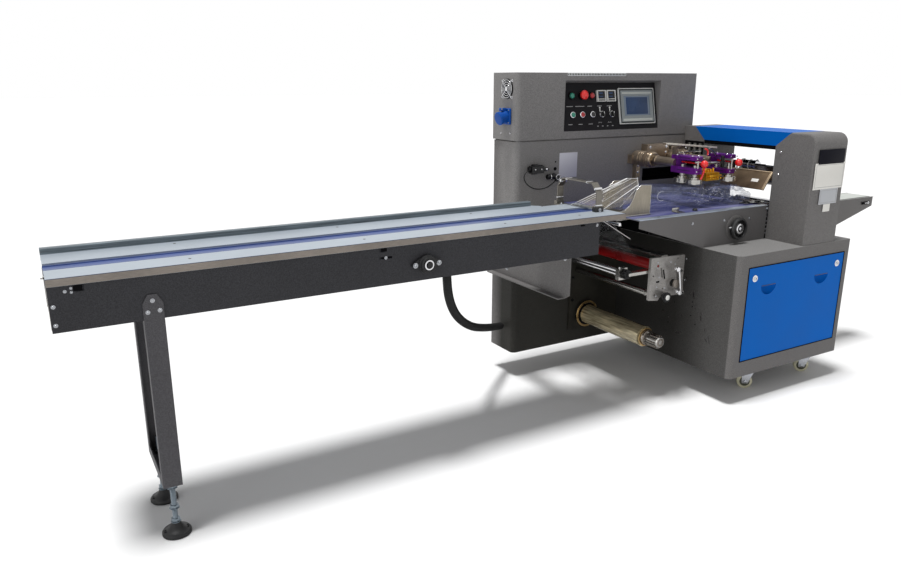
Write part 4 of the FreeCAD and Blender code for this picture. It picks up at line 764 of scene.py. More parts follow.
def panel():
    """Push buttons, selector marks, controller faces and the screen, drawn on the sloping plate."""
    collars = Piece("button_rings", CHROME, turn=PANEL)
    sockets = Piece("button_sockets", BLACK_GLOSS, turn=PANEL)
    for x, z in KEYS.values():
        collars.lathe((x, 0, z), FRONT, [(0, 15), (3, 15), (5.5, 13.5), (6, 12.6), (6, 11), (2, 11)], 32)
    for x, z in ((223, 70), (281, 70)):
        collars.lathe((x, 0, z), FRONT, [(0, 15), (3, 15), (5, 13.6), (5, 12.2), (0, 12.1)], 32)
    for x, z in (*LAMPS.values(), (110, 153)):
        sockets.lathe((x, 0, z), FRONT, [(0, 16.5), (4, 16.5), (7, 14.5), (8, 13), (8, 10)], 32)
    sockets.lathe((110, 0, 153), FRONT, [(4, 16.5), (12, 16), (14.6, 14.5), (14.6, 9.6)], 32)
    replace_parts(collars.done(), "push_buttons")
    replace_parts(sockets.done(), "push_buttons")
    caps = {"green": GREEN_PLASTIC, "red": DARK_RED, "black": BLACK_PLASTIC}
    for colour, material in caps.items():
        cap = Piece(colour + "_button_caps", material, turn=PANEL)
        if colour in LAMPS:
            x, z = LAMPS[colour]
            cap.lathe((x, -4, z), FRONT, [(0, 12.6), (6, 12.6), (9, 11), (11, 7), (11.6, 0)], 32)
        x, z = KEYS[colour]
        cap.lathe((x, -1, z), FRONT, [(0, 11), (6.5, 11), (7.5, 10), (8, 6), (8, 0)], 32)
        cap.done()

    bars = Piece("caption_bars", GREY_INK, turn=PANEL)
    for left, right in ((24, 59), (73, 124), (142, 168), (198, 226), (256, 285)):
        bars.block((left, -0.6, 105.4), (right, 0.2, 108.6))
    for left, right in ((27, 49), (84, 106), (141, 165)):
        bars.block((left, -0.6, 26.4), (right, 0.2, 29.6))
    for x in (195, 223, 252, 282):
        bars.block((x - 4, -0.6, 15), (x + 4, 0.2, 19))
    for x in (209, 266):
        for shift in (-10, 2):
            bars.prism([(x + shift, -0.6, 30), (x + shift + 4, -0.6, 34.6), (x + shift + 8, -0.6, 30),
                        (x + shift + 8, -0.6, 32.4), (x + shift + 4, -0.6, 37), (x + shift, -0.6, 32.4)],
                       (0, 0.8, 0))
    bars.done()
    marks = Piece("selector_marks", WHITE_PLASTIC, turn=PANEL)
    for x in (213, 271):
        marks.rod((x, -1.5, 99), (x, 0.2, 99), 4.4, 20, 0.4)
        marks.block((x - 2.4, -1, 82), (x + 2.4, 0.2, 94), 0.4)
    marks.done()

    for side, x in (("left", 223), ("right", 281)):
        pointer = Piece("selector_pointer_" + side, WHITE_PLASTIC, "selector_" + side, turn=PANEL)
        pointer.block((x - 1.4, SELECTOR_FRONT - 0.5, 71), (x + 1.4, SELECTOR_FRONT + 0.4, 79), 0.2)
        pointer.done()

    faces = Piece("controller_faces", BLACK_GLOSS, turn=PANEL)
    keys = Piece("controller_keys", BLACK_PLASTIC, turn=PANEL)
    for x in (223, 281):
        faces.block((x - 22, -7.4, 129), (x + 22, -5.9, 173), 0.4)
        for shift in (-15, -5, 5, 15):
            keys.block((x + shift - 3, -8.6, 129.6), (x + shift + 3, -6.8, 134.4), 0.4)
    faces.done()
    keys.done()
    digits = Piece("controller_readouts", SCREEN, turn=PANEL)
    for x in (223, 281):
        digits.block((x - 14, -7.7, 159), (x + 8, -7.3, 166))
        digits.block((x - 14, -7.7, 145), (x + 8, -7.3, 151))
    digits.done()

    border = Piece("screen_border", SCREEN_EDGE, turn=PANEL)
    border.block((354, -6.2, 59), (514, -4.9, 149), 0.3)
    border.done()
    glass = Piece("screen_display", SCREEN, turn=PANEL)
    glass.block((367, -6.9, 65), (501, -6, 143), 0.3)
    glass.done()
    rim = Piece("screen_rim", WHITE_PLASTIC, turn=PANEL)
    line = Piece("screen_rim_line", BLACK_GLOSS, turn=PANEL)
    for piece, reach_x, reach_z, width, low, high in ((rim, 108, 80, 3.4, -6.5, 0.2),
                                                      (line, 101, 73.5, 5, -8.3, -7.4)):
        centre_x, centre_z = 434, 103
        for side in (-1, 1):
            piece.block((centre_x + side * reach_x - width / 2, low, centre_z - reach_z),
                        (centre_x + side * reach_x + width / 2, high, centre_z + reach_z), 0.4)
            piece.block((centre_x - reach_x, low, centre_z + side * reach_z - width / 2),
                        (centre_x + reach_x, high, centre_z + side * reach_z + width / 2), 0.4)
        piece.done()
    foot = Piece("screen_lower_band", LIGHT_PLASTIC, turn=PANEL)
    foot.block((344, -8.2, 34), (524, -7.6, 45), 0.3)
    foot.block((344, -8.2, 158), (524, -7.6, 166), 0.3)
    foot.done()


# ---------------------------------------------------------------- guide arch and former

def guides():
    """Bands and blocks on the guide arch, and the turned edges of the former."""
    bands = Piece("arch_bright_bands", CHROME)
    for y in (140, 266):
        bands.block((1896, y - 2, 943.5), (1928, y + 2, 951.5), 0.8)
    bands.prism([(1896, 304, 943), (1896, 309, 936), (1896, 300, 930), (1896, 295, 937)], (32, 0, 0), 0.6)
    bands.prism([(1896, 84, 933), (1896, 79, 926), (1896, 88, 921), (1896, 93, 928)], (32, 0, 0), 0.6)
    bands.block((1896, 316.5, 864), (1928, 324, 868.5), 0.8)
    bands.block((1896, 74, 862), (1928, 81.5, 867), 0.8)
    bands.done()
    block = Piece("arch_foot_blocks", BLACK_PLASTIC)
    block.block((1892, 70.5, 839), (1932, 93, 858), 2)
    block.done()
    screws = Piece("arch_screws", ZINC)
    screws.screw((1912, 70.5, 847), FRONT, 5)
    screws.screw((1912, 68, 839.2), UP, 4)
    screws.screw((1905, 300, 839.7), UP, 5)
    screws.screw((1912, 328, 853), UP, 4, washer=False)
    screws.done()

    edge = [(2030, 823), (2064, 828), (2090, 844), (2108, 873), (2122, 906), (2146, 924)]
    bright = Piece("former_turned_edges", BRIGHT_STEEL)
    for y in (96, 256):
        for start, end in zip(edge, edge[1:]):
            bright.rod((start[0], y, start[1]), (end[0], y, end[1]), 1.5, 10)
        bright.rod((2146, y, 924), (2202, y, 921), 1.4, 10)
        bright.rod((2202, y, 801), (2202, y, 921), 1.4, 10)
    bright.block((1985, 92, 799.5), (2205, 95.8, 806), 0.6)
    bright.block((1990, 60, 797.8), (2069, 92, 799.6), 0.4)
    bright.done()
    bar = Piece("film_turning_bar", CHROME)
    bar.rod((1996, 44, 786), (1996, 300, 786), 7, 28, 1)
    bar.done()
    bracket = Piece("turning_bar_bracket", BRIGHT_STEEL)
    bracket.block((1988, 292, 776), (2068, 300, 797), 1)
    bracket.done()


# ---------------------------------------------------------------- film

def film_sheet(name, material, surface, across, along, thickness=None):
    """A sheet whose points come from a surface of two shares, each 0 to 1."""
    mesh = bmesh.new()
    bmesh.ops.create_grid(mesh, x_segments=across, y_segments=along, size=0.5)
    for vert in mesh.verts:
        vert.co = at(*surface(vert.co.x + 0.5, vert.co.y + 0.5))
    bmesh.ops.recalc_face_normals(mesh, faces=mesh.faces[:])
    data = bpy.data.meshes.new(name)
    mesh.to_mesh(data)
    area = sum(face.calc_area() for face in mesh.faces)
    mesh.free()
    data.materials.append(material)
    data.shade_smooth()
    piece = bpy.data.objects.new(name, data)
    bpy.context.scene.collection.objects.link(piece)
    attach(piece, "frame")
    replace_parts(piece, "film_web")
    return piece, area


def crumple(point, size, depth):
    """A push by folded noise, the same on every run."""
    place = Vector(point) / size
    return depth * (abs(noise.noise(place)) * 1.6 + noise.noise(place * 2.7) * 0.5 - 0.3)


TUBE_STATIONS = [(2100, 817, 0.0), (2176, 914, 0.5), (2450, 893, 1.5), (2560, 886, 6.0), (2740, 889, 8.0),
                 (2826, 846, 6.0)]


def tube_point(share, girth):
    """A point of the folded tube: share runs along the lane, girth up one side and down the other."""
    x = 2100 + share * 726
    for (start, low, calm), (end, high, rough) in zip(TUBE_STATIONS, TUBE_STATIONS[1:]):
        if x <= end:
            part = (x - start) / (end - start)
            top = low + (high - low) * part
            depth = calm + (rough - calm) * part
            break
    height = top - 803
    outline = [(104, 803), (104, top - 8), (111, top), (241, top), (248, top - 8), (248, 803)]
    lengths = [math.dist(a, b) for a, b in zip(outline, outline[1:])]
    wanted = girth * sum(lengths)
    for (a, b), length in zip(zip(outline, outline[1:]), lengths):
        if wanted <= length + 1e-6:
            y, z = a[0] + (b[0] - a[0]) * wanted / length, a[1] + (b[1] - a[1]) * wanted / length
            break
        wanted -= length
    push = crumple((x, y, z), 46, depth)
    inward = 1 if y < 176 else -1
    loose = min(1, (z - 803) / max(height, 1) * 2)
    return x, y + inward * max(push, -4) * loose, max(803, z - abs(push) * loose)


def film():
    """Clear film: the web up from the red roller, the pleated fan and the tube under the wheels."""
    def web(share, rise):
        x = 2166 - 155 * rise + 2 * math.sin(share * 16 + rise * 3) * rise
        return x, 116 + 290 * share, 619 + 177 * rise

    piece, area = film_sheet("film_web_rising", WEB_FILM, web, 30, 16)

    def fan(share, run):
        near = Vector((1957, 100, 841)).lerp(Vector((2134, 100, 926)), run)
        if share < 0.2:
            point = Vector((1957, 98, 840)).lerp(Vector((2100, 98, 856)), run).lerp(near, share / 0.2)
        else:
            across = (share - 0.2) / 0.8
            start = Vector((1957, 100, 841)).lerp(Vector((1912, 250, 840.5)), across)
            ridge = Vector((2134, 100, 926)).lerp(Vector((2214, 250, 928)), across)
            ridge += Vector((22, 0, 10)) * math.sin(math.pi * across)
            point = start.lerp(ridge, run)
        pleat = math.sin(share * 47) * 2.2 + math.sin(share * 19 + 1) * 2.5
        return point.x, point.y, point.z - abs(pleat) * math.sin(math.pi * run) * 0.8

    piece, area = film_sheet("film_fan", FAN_FILM, fan, 60, 20)

    piece, area = film_sheet("film_tube", TUBE_FILM, tube_point, 150, 60)

    # White rods along the film's edges, folds and crumples, and a small arc, are painted highlights on the clear film.
    creases = Piece("film_crease_painted_highlights", FILM_CREASE_HIGHLIGHT)
    for start, end, radius, end_radius in (
            ((1912, 250, 841), (2211, 250, 930), 0.9, 3.4), ((1922, 236, 841), (2160, 226, 918), 0.6, 1.6),
            ((1957, 100, 842), (2134, 100, 926.5), 0.9, 1.7), ((1990, 190, 872), (2109, 180, 930), 0.7, 1.8),
            ((1946, 150, 842), (2168, 148, 935), 0.4, 0.8), ((1926, 214, 842), (2200, 210, 936), 0.5, 1.0),
            ((2134, 101, 927), (2195, 172, 940), 1.2, 1.4), ((2195, 172, 940), (2212, 246, 931), 1.2, 1.0),
            ((2040, 99, 842), (2136, 100, 922), 0.5, 0.9)):
        creases.rod(start, end, radius, 8, end_radius=end_radius)
    creases.rod((1957, 110, 798), (2118, 110, 704), 0.9, 8, end_radius=1.5)
    creases.rod((1957, 111, 799), (2063, 111, 765), 0.9, 8, end_radius=4.0)
    for index in range(64):
        spot = Vector((2480 + random.random() * 330, 106 + random.random() * 60, 812 + random.random() * 64))
        lean = Vector((random.uniform(-26, 26), random.uniform(-6, 6), random.uniform(-10, 10)))
        creases.rod(spot, spot + lean, 0.5 + random.random() * 1.1, 6, end_radius=0.3)
    arc = [(2318 + 24 * math.cos(angle), 150, 860 + 20 * math.sin(angle))
           for angle in (math.radians(60 + 24 * step) for step in range(11))]
    for start, end in zip(arc, arc[1:]):
        creases.rod(start, end, 1.3, 8)
    creases.done()


# ---------------------------------------------------------------- deck

def deck():
    """Bright front strip, screws, small clips and the handwheel's metal."""
    strip = Piece("deck_front_strip", DECK_STRIP)
    strip.block((2069, 11.2, 797.8), (2831, 50, 800.4), 0.5)
    strip.done()
    screws = Piece("deck_screws", ZINC)
    for x, z, radius in ((2366, 760, 4), (2556, 756, 4), (2716, 752, 4)):
        screws.screw((x, 12, z), FRONT, radius)
    for z in (676, 694, 712, 730, 748, 766):
        screws.rod((2829, 8, z), (2829, 12.5, z), 3, 12, 0.6)
    screws.screw((2826, 11, 786), FRONT, 6)
    screws.done()
    clips = Piece("deck_clips", BLACK_PLASTIC)
    clips.lathe((2442, 74, 800.4), UP, [(0, 11), (3, 11), (7, 8), (9, 7), (9, 0)], 24)
    clips.block((2770, 70, 800.4), (2782, 96, 812), 2)
    clips.block((2838, 74, 800.4), (2862, 92, 810), 2)
    clips.done()
    plates = Piece("deck_small_plates", BRIGHT_STEEL)
    plates.block((2330, 60, 800), (2372, 98, 801.6), 0.4)
    plates.block((2330, 95.6, 800), (2372, 98, 816), 0.4)
    plates.block((2752, 70, 800.6), (2880, 82, 806), 0.8)
    plates.block((2752, 96, 800.6), (2880, 104, 806), 0.8)
    plates.done()
    # A near-black sheet at the back and on the right of the hollow under the deck: painted shade there, not a part of
    # the machine.
    shade = Piece("deck_underside_painted_shade", PAINTED_SHADE_BLACK)
    shade.block((2069, 517, 640), (2436, 519, 790))
    shade.block((2434, 330, 652), (2436, 517, 790))
    shade.done()
    gap = Piece("hinge_gap", PAINTED_SHADE_BLACK)
    gap.block((2827, 11.2, 652), (2832.4, 12.4, 797))
    gap.done()

    hub = Piece("handwheel_hub_rings", CHROME, "handwheel")
    centre = (2627, -15, 718)
    hub.lathe(centre, FRONT, [(0, 22), (2, 22), (3, 20.5), (3, 15.5), (1, 15), (0, 15)], 36)
    hub.lathe(centre, FRONT, [(0, 8), (4, 8), (5, 6.5), (5, 4), (2, 3.6), (2, 0)], 24)
    hub.rod((2564.6, -9, 727), (2582, -9, 727), 4.2, 20, 0.8)
    hub.done()
    collar = Piece("handwheel_web_boss", BLACK_PLASTIC, "handwheel")
    collar.lathe((2627, -4, 718), FRONT, [(0, 33), (1, 33), (9, 26), (12, 23), (12, 0)], 36)
    collar.done()
    dot = Piece("handwheel_brass_stud", BRASS, "handwheel")
    dot.rod((2605, -14, 712), (2605, -9, 712), 2.6, 14, 0.5)
    dot.done()
    plate = Piece("handwheel_backplate", GREY_PAINT)
    plate.lathe((2627, 12.2, 718), FRONT, [(0, 56), (1.6, 56), (2.2, 55), (2.2, 12)], 48)
    plate.done()


# ---------------------------------------------------------------- middle seal unit

def seal_unit():
    """Levers, clamps, bright rods, rings and bolts round the sealing wheels."""
    rings = Piece("spindle_rings", BRONZE_LIGHT)
    for x in (2507, 2722):
        for y in (404, 414, 446, 456, 470):
            rings.ring((x, y, 981), FRONT, 34.2, 1.8)
        rings.lathe((x, 400, 981), FRONT, [(0, 34), (3, 33), (5, 30), (5, 22), (26, 22), (28, 20), (28, 18)], 36)
    rings.done()
    bolts = Piece("seal_unit_bolts", CHROME)
    for x, z in ((2572, 1028), (2572, 1002), (2674, 1028), (2674, 1002), (2726, 1016), (2808, 1016)):
        bolts.screw((x, 490, z), FRONT, 4.4)
    for x in (2484, 2524, 2697, 2735):
        bolts.screw((x, 123 if x < 2600 else 126, 1009), FRONT, 3, washer=False)
        bolts.screw((x, 123 if x < 2600 else 126, 955 if x < 2600 else 945), FRONT, 3, washer=False)
        bolts.screw((x, 150, 1018 if x < 2600 else 1016), UP, 4)
        bolts.screw((x, 236, 1018 if x < 2600 else 1016), UP, 4)
    for z in (884, 914, 944, 974):
        bolts.screw((2518, 506, z), FRONT, 5)
    bolts.done()

    rods = Piece("seal_unit_rods", BRIGHT_STEEL)
    rods.rod((2466, 116, 996), (2560, 116, 990), 3.6, 18, 0.6)
    rods.rod((2540, 150, 986), (2690, 150, 982), 5, 18, 0.6)
    rods.rod((2690, 120, 992), (2762, 120, 988), 3, 18, 0.6)
    rods.rod((2484, 117, 970), (2484, 117, 1001), 4.5, 18)
    rods.rod((2698, 120, 955), (2698, 120, 1001), 4, 18)
    rods.rod((2735, 120, 955), (2735, 120, 1001), 4, 18)
    for x, low in ((2495, 921), (2706, 921)):
        for y in (141, 211):
            rods.lathe((x, y, low + 13), UP, [(0, 13), (4, 13), (5, 12), (8, 12), (9, 10), (9, 8.2)], 24)
    rods.block((2560, 300, 1016), (2700, 306, 1022), 1)
    rods.rod((2640, 200, 1041), (2690, 200, 1010), 4, 16)
    rods.done()
    dark = Piece("seal_unit_clamps", BLACK_GLOSS)
    dark.block((2706, 115, 962), (2720, 124.5, 996), 2)
    dark.block((2508, 111, 971), (2530, 121.5, 1000), 2)
    dark.rod((2674, 150, 962), (2674, 150, 1012), 8, 20, 1)
    dark.block((2546, 190, 960), (2572, 240, 1000), 3)
    dark.done()
    # The grooves of the purple blocks are thin strips of darker purple: painted shade in them.
    slots = Piece("purple_block_slots", PURPLE_GROOVE_PAINTED_SHADE)
    for low, high, front, levels in ((2476, 2532, 123, ((943, 970), (1001, 1018))),
                                     (2690, 2742, 126, ((935, 955), (1001, 1016)))):
        for bottom, top in levels:
            middle = (bottom + top) / 2
            slots.block((low + 14, front - 0.4, middle - 1.5), (high - 14, front + 0.4, middle + 1.5))
            slots.block((low - 0.4, front + 30, middle - 2), (low + 0.4, front + 100, middle + 2))
    slots.done()

    red = Piece("red_levers", RED_PLASTIC)
    bend = [(2610, 198, 1041), (2619, 197, 1039), (2626, 196, 1033), (2628, 195, 1024), (2624, 193, 1013)]
    for start, end in zip(bend, bend[1:]):
        red.rod(start, end, 3.8, 16, 0.8)
    stem = [(2509, 104, 985), (2514, 108, 960), (2510, 110, 940), (2502, 112, 922)]
    for start, end in zip(stem, stem[1:]):
        red.rod(start, end, 4.6, 18, 1)
    red.done()
    brass = Piece("heater_block_studs", BRASS)
    for x in (2584, 2600, 2616, 2632, 2648):
        brass.rod((x, 128, 918), (x, 132.5, 918), 4, 16, 0.8)
        brass.rod((x, 176, 942), (x, 176, 950 + (x % 3) * 4), 5, 6, 0.8)
    brass.block((2578, 129, 926), (2652, 132.5, 934), 1)
    brass.done()
    bar = Piece("slotted_bar_strips", BAR_LIGHT)
    bar.prism([(2407, 230.9, 1066), (2725, 230.9, 1036), (2725, 230.9, 1043), (2407, 230.9, 1073)],
              (0, 0.6, 0), 0.2)
    for near in (231.4, 247):
        bar.prism([(2407, near, 1072.2), (2725, near, 1042.2), (2725, near, 1044), (2407, near, 1074)],
                  (0, 5.6, 0), 0.3)
    for index in range(9):
        left = 2407 + index * 36.6
        drop = 30 * (left - 2407) / 318
        bar.prism([(left, 231.4, 1072.2 - drop), (left + 13, 231.4, 1071 - drop),
                   (left + 13, 231.4, 1072.8 - drop), (left, 231.4, 1074 - drop)], (0, 21.2, 0))
    bar.done()
    under = Piece("slotted_bar_shade", PAINTED_SHADE_BLACK)
    under.prism([(2412, 231.6, 1063.6), (2722, 231.6, 1034.2), (2722, 231.6, 1036), (2412, 231.6, 1065.4)],
                (0, 20.6, 0))
    under.done()


# ---------------------------------------------------------------- portal

def portal():
    """Painted shade on the lip under the cover, jaw details, bare plates and screws."""
    # The lip under the cover and a strip on the portal's left face at the spring posts are drawn near-black: painted
    # shade.
    lip = Piece("cover_lip_painted_shade", PAINTED_SHADE_BLACK)
    lip.block((2833, 8.4, 1042), (3049, 402.6, 1058.6), 1)
    lip.block((2830.6, 404, 925), (2832.4, 520, 1050))
    lip.done()
    posts = Piece("jaw_spring_posts", DARK_STEEL)
    for y in (420, 452, 486):
        posts.rod((2826, y, 930), (2826, y, 1040), 8, 20, 1)
        posts.rod((2826, y, 1000), (2826, y, 1012), 12, 20, 1)
    posts.done()
    white = Piece("jaw_guard_sticker", PAPER)
    guard = Matrix.Translation((2782, 8, 870)) @ Matrix.Rotation(math.radians(35), 4, "Y")
    white.place = guard
    white.block((-2.2, 48, 34), (-1.4, 84, 49), 0.2)
    white.done()
    # The guard's folded rims are drawn paler than its plate: a painted highlight along the folds.
    folds = Piece("jaw_guard_folds", GUARD_FOLD_HIGHLIGHT, turn=guard)
    folds.block((-4, -0.5, -1), (2.4, 6, 91), 0.8)
    folds.block((-4.5, 0, 86.5), (2.4, 238, 91), 0.8)
    folds.block((-3, 8, 2), (-1.2, 10.5, 84), 0.4)
    folds.done()
    knob = Piece("jaw_knob_face", WHITE_PLASTIC)
    knob.lathe((2971, 282, 950), FRONT, [(0, 0), (0, 24.5), (3, 25), (9, 25), (10, 22.4)], 40)
    knob.ring((2971, 236, 950), FRONT, 22, 2.2)
    knob.done()
    green = Piece("jaw_knob_tag", GREEN_PLASTIC)
    green.prism([(2950, 283, 928), (2957, 283, 926), (2992, 283, 971), (2985, 283, 975)], (0, 4, 0), 0.8)
    green.done()
    shaft = Piece("jaw_knob_shaft", BLACK_GLOSS)
    shaft.lathe((2971, 214, 950), FRONT, [(0, 22.5), (3, 22.5), (4, 12), (8, 8), (58, 8), (60, 6.4)], 28)
    shaft.rod((2971, 208, 966), (2971, 198, 972), 6, 16, 1)
    shaft.done()

    face = -185.5
    for name, material, left, low, right, high in (
            ("bare_black_plate", BLACK_LABEL, 2857, 994, 3028, 1054), ("bare_white_plate", PAPER, 2840, 889, 3041, 999),
            ("bare_silver_plate", SILVER_LABEL, 2891, 824, 3012, 889), ("bare_small_plate", PAPER, 2926, 791, 2972, 823)):
        plate = Piece(name, material)
        plate.block((left, face - (1.6 if "black" in name else 0.9), low), (right, face + 0.3, high), 0.3)
        plate.done()
    rules = Piece("bare_plate_frames", GREY_INK)
    for left, low, right, high in ((2848, 897, 3033, 991), (2897, 830, 3006, 883)):
        for a, b in (((left, low), (right, low + 1.4)), ((left, high - 1.4), (right, high)),
                     ((left, low), (left + 1.4, high)), ((right - 1.4, low), (right, high))):
            rules.block((a[0], face - 1.2, a[1]), (b[0], face - 0.6, b[1]))
    rules.done()
    screws = Piece("portal_screws", CHROME)
    for y, z in ((-20, 1033), (-22, 939)):
        screws.screw((2832, y, z), LEFT, 4, washer=False)
    for x, z in ((2895, 885), (3008, 885), (2895, 828), (3008, 828)):
        screws.screw((x, face - 0.9, z), FRONT, 2.4, 1.2, washer=False)
    screws.done()


# ---------------------------------------------------------------- lower cabinet

def lower_cabinet():
    """Door edges, locks, finger-pull shades and slots of the lower cabinet."""
    gap = Piece("door_gap", PAINTED_SHADE_BLACK)
    for a, b in (((2495, 188), (3126, 191.4)), ((2495, 593.6), (3126, 597)),
                 ((2495, 188), (2498.4, 597)), ((3122.6, 188), (3126, 597))):
        gap.block((a[0], -187.4, a[1]), (b[0], -185.2, b[1]))
    gap.done()
    locks = Piece("door_locks", CHROME)
    for x in (2537, 3080):
        locks.lathe((x, -186, 548), FRONT, [(0, 15), (1.5, 15), (3, 13.5), (3, 9), (5, 8.6), (6, 7.4), (6, 2.6),
                                            (3, 2.4), (3, 0)], 32)
        locks.rod((x, -187, 548), (x, -191, 548), 2, 12)
    locks.done()
    spots = Piece("door_lock_slots", BLACK_GLOSS)
    for x in (2537, 3080):
        spots.block((x - 1.4, -192.6, 542.5), (x + 1.4, -191.4, 553.5))
    spots.done()
    shade = Piece("finger_pull_shades", DEEP_BLUE)
    for x in (2629, 2978):
        shade.block((x - 44, -186.8, 507.5), (x + 44, -185.6, 511.5), 0.4)
    shade.done()
    # Near-black fills in the side's slots and holes: painted shade inside them.
    slots = Piece("side_slots", PAINTED_SHADE_BLACK)
    for y, z, height, lean in ((33, 427, 18, 5), (-17, 334, 20, 6), (137, 374, 10, 4), (-57, 250, 12, 10)):
        slots.prism([(2437.4, y, z), (2437.4, y + 2.4, z), (2437.4, y + 2.4 + lean, z + height),
                     (2437.4, y + lean, z + height)], (1.2, 0, 0))
    for y, z in ((83, 502), (39, 404), (37, 384), (42, 342), (14, 309), (204, 323), (169, 276)):
        slots.rod((2437.4, y, z), (2438.6, y, z), 2.6, 12)
    slots.done()


CASTOR_YAW = -40
CASTOR_WIDTH = 24


def castors():
    """Wheel hubs and fork bolts of the four castors."""
    for name, x, y in (("front_left", 2691, -91), ("front_right", 3087, -91),
                       ("rear_left", 2691, 640), ("rear_right", 3087, 640)):
        fork_low, fork_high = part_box("castor_fork_" + name)
        wheel_low, wheel_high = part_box("castor_wheel_" + name)
        wheel = TO_FRAME.inverted() @ ((wheel_low + wheel_high) / 2)
        axle = Vector((math.sin(math.radians(CASTOR_YAW)) * -1, math.cos(math.radians(CASTOR_YAW)), 0))
        rim = Piece("castor_hub_" + name, DARK_HUB, "castor_roll_" + name)
        for side in (-1, 1):
            outward = axle * side
            rim.lathe(wheel + outward * (CASTOR_WIDTH / 2), outward,
                      [(0, 22), (0.8, 22), (1.2, 20), (1.2, 6.5)], 32)
        rim.done()
        bolt = Piece("castor_bolts_" + name, ZINC, "castor_swivel_" + name)
        for side in (-1, 1):
            outward = axle * side
            bolt.rod(wheel + outward * (CASTOR_WIDTH / 2 + 6), wheel + outward * (CASTOR_WIDTH / 2 + 11), 8, 6, 1)
        bolt.done()


# ---------------------------------------------------------------- film unwinding

def unwinding():
    """Flange, cone, clamps, pins and the knob of the film unwinding."""
    gold = Piece("reel_flange_ring", GOLD_RING, "film_reel")
    gold.lathe((2242, 497.5, 258), FRONT, [(0, 64), (1, 64), (2, 63), (2, 55), (1, 54), (0, 54)], 56)
    gold.done()
    dark = Piece("reel_flange_face", BLACK_GLOSS, "film_reel")
    dark.lathe((2242, 498, 258), FRONT, [(0, 54), (1, 54), (1, 22)], 48)
    dark.lathe((2242, 107.6, 258), FRONT, [(0, 38), (1.6, 38), (2, 37), (2, 24)], 48)
    dark.done()
    core = Piece("reel_core_ring", GOLD_RING, "film_reel")
    core.lathe((2242, 106.8, 258), FRONT, [(0, 41), (1.4, 41), (1.8, 40), (1.8, 36), (0, 36)], 48)
    core.done()
    cone = Piece("reel_cone_cap", CONE_STEEL, "film_reel")
    cone.lathe((2242, 92, 258), FRONT, [(0, 35), (3, 35), (5, 33), (5, 30)], 40)
    for step in range(12):
        angle = math.tau * step / 12
        across = Vector((math.cos(angle), 0, math.sin(angle)))
        root = Vector((2242, 0, 258)) + across * 26.5
        cone.rod(root + Vector((0, 88, 0)), root + Vector((0, 26, 0)), 3, 12, 1)
    cone.lathe((2242, 19.6, 258), FRONT, [(0, 18), (0.8, 18), (0.8, 9), (-4, 8), (-4, 0)], 32)
    cone.done()

    plate_screws = Piece("end_plate_screws", ZINC)
    for x, z in ((2164, 624), (2164, 600), (2176, 560), (2166, 520), (2166, 482), (2236, 618), (2262, 604),
                 (2326, 620), (2236, 480), (2210, 510), (2326, 530)):
        plate_screws.screw((x, -8, z), FRONT, 3.4, 2, washer=False)
    plate_screws.done()
    pins = Piece("end_plate_pins", CHROME)
    pins.lathe((2264, -22, 586), FRONT, [(0, 10), (6, 10), (8, 8), (8, 0)], 24)
    pins.lathe((2284, -22, 484), FRONT, [(0, 10), (6, 10), (8, 8), (8, 0)], 24)
    pins.rod((2278, -20, 574), (2294, -20, 484), 4, 16, 0.6)
    pins.rod((2252, -17, 591), (2292, -17, 574), 7, 20, 1)
    pins.rod((2268, -17, 492), (2314, -17, 474), 6.5, 20, 1)
    pins.done()
    disc = Piece("end_plate_disc", TRIM_STEEL)
    disc.lathe((2278, -8, 519), FRONT, [(-4, 17), (2.6, 17), (3, 16), (3, 0)], 36)
    disc.done()
    # Near-black fills in the end plate's slots: painted shade inside them.
    shade = Piece("end_plate_slots", PAINTED_SHADE_BLACK)
    shade.prism([(2205, -8.5, 549), (2212, -8.5, 549), (2202, -8.5, 589), (2195, -8.5, 589)], (0, 0.7, 0))
    shade.block((2162, -8.5, 538), (2180, -8.5 + 0.7, 545))
    shade.done()
    knob = Piece("plate_knob_ring", BLACK_GLOSS)
    knob.lathe((2222, -14, 470), FRONT, [(0, 21), (4, 21), (6, 19), (6, 9)], 32)
    knob.done()
    centre = Piece("plate_knob_centre", WHITE_PLASTIC)
    centre.lathe((2222, -14, 470), FRONT, [(0, 11), (7, 11), (8, 9.5), (8, 0)], 28)
    centre.done()

    star = Piece("tension_knob", BLACK_GLOSS)
    star.rod((2044, 52, 579), (2044, 38, 579), 9, 24, 1)
    for step in range(5):
        angle = math.tau * step / 5 + 0.4
        lobe = Vector((2044 + 13 * math.cos(angle), 40, 579 + 13 * math.sin(angle)))
        star.rod(lobe + Vector((0, 10, 0)), lobe + Vector((0, -8, 0)), 8.5, 20, 2)
    star.rod((2044, 48, 579), (2044, 32, 579), 12, 24, 2)
    star.done()
    tube = Piece("tension_tube", CHROME)
    tube.lathe((2036, 528, 579), FRONT, [(0, 16.6), (456, 16.6), (457, 15.6), (457, 0)], 40)
    tube.rod((2054, 34, 578), (2148, 34, 578), 5, 18, 0.8)
    tube.screw((2058, 62, 590), (1, 0, 0), 4)
    tube.screw((2024, 62, 603), UP, 4)
    tube.done()
    tie = Piece("tie_bar_face", BLACK_IRON)
    tie.block((2217, 27, 638), (2253, 517, 639.2), 0.4)
    tie.done()
    caps = Piece("roller_end_caps", BLACK_GLOSS, "steel_roller")
    caps.lathe((2182, 26, 478), FRONT, [(0, 11), (3, 11), (4, 9), (4, 6)], 28)
    caps.done()
    rims = Piece("red_roller_rims", DARK_STEEL, "red_roller")
    rims.lathe((2190, 31, 600), FRONT, [(0, 20), (2.4, 20), (3, 18), (3, 8)], 32)
    rims.done()
    edge = Piece("mount_plate_bolts", BLACK_GLOSS)
    for x, z in ((2166, 620), (2166, 560), (2166, 440), (2166, 330), (2300, 620), (2420, 620), (2420, 560)):
        edge.screw((x, 518, z), FRONT, 5)
    edge.done()


# ---------------------------------------------------------------- discharge conveyor

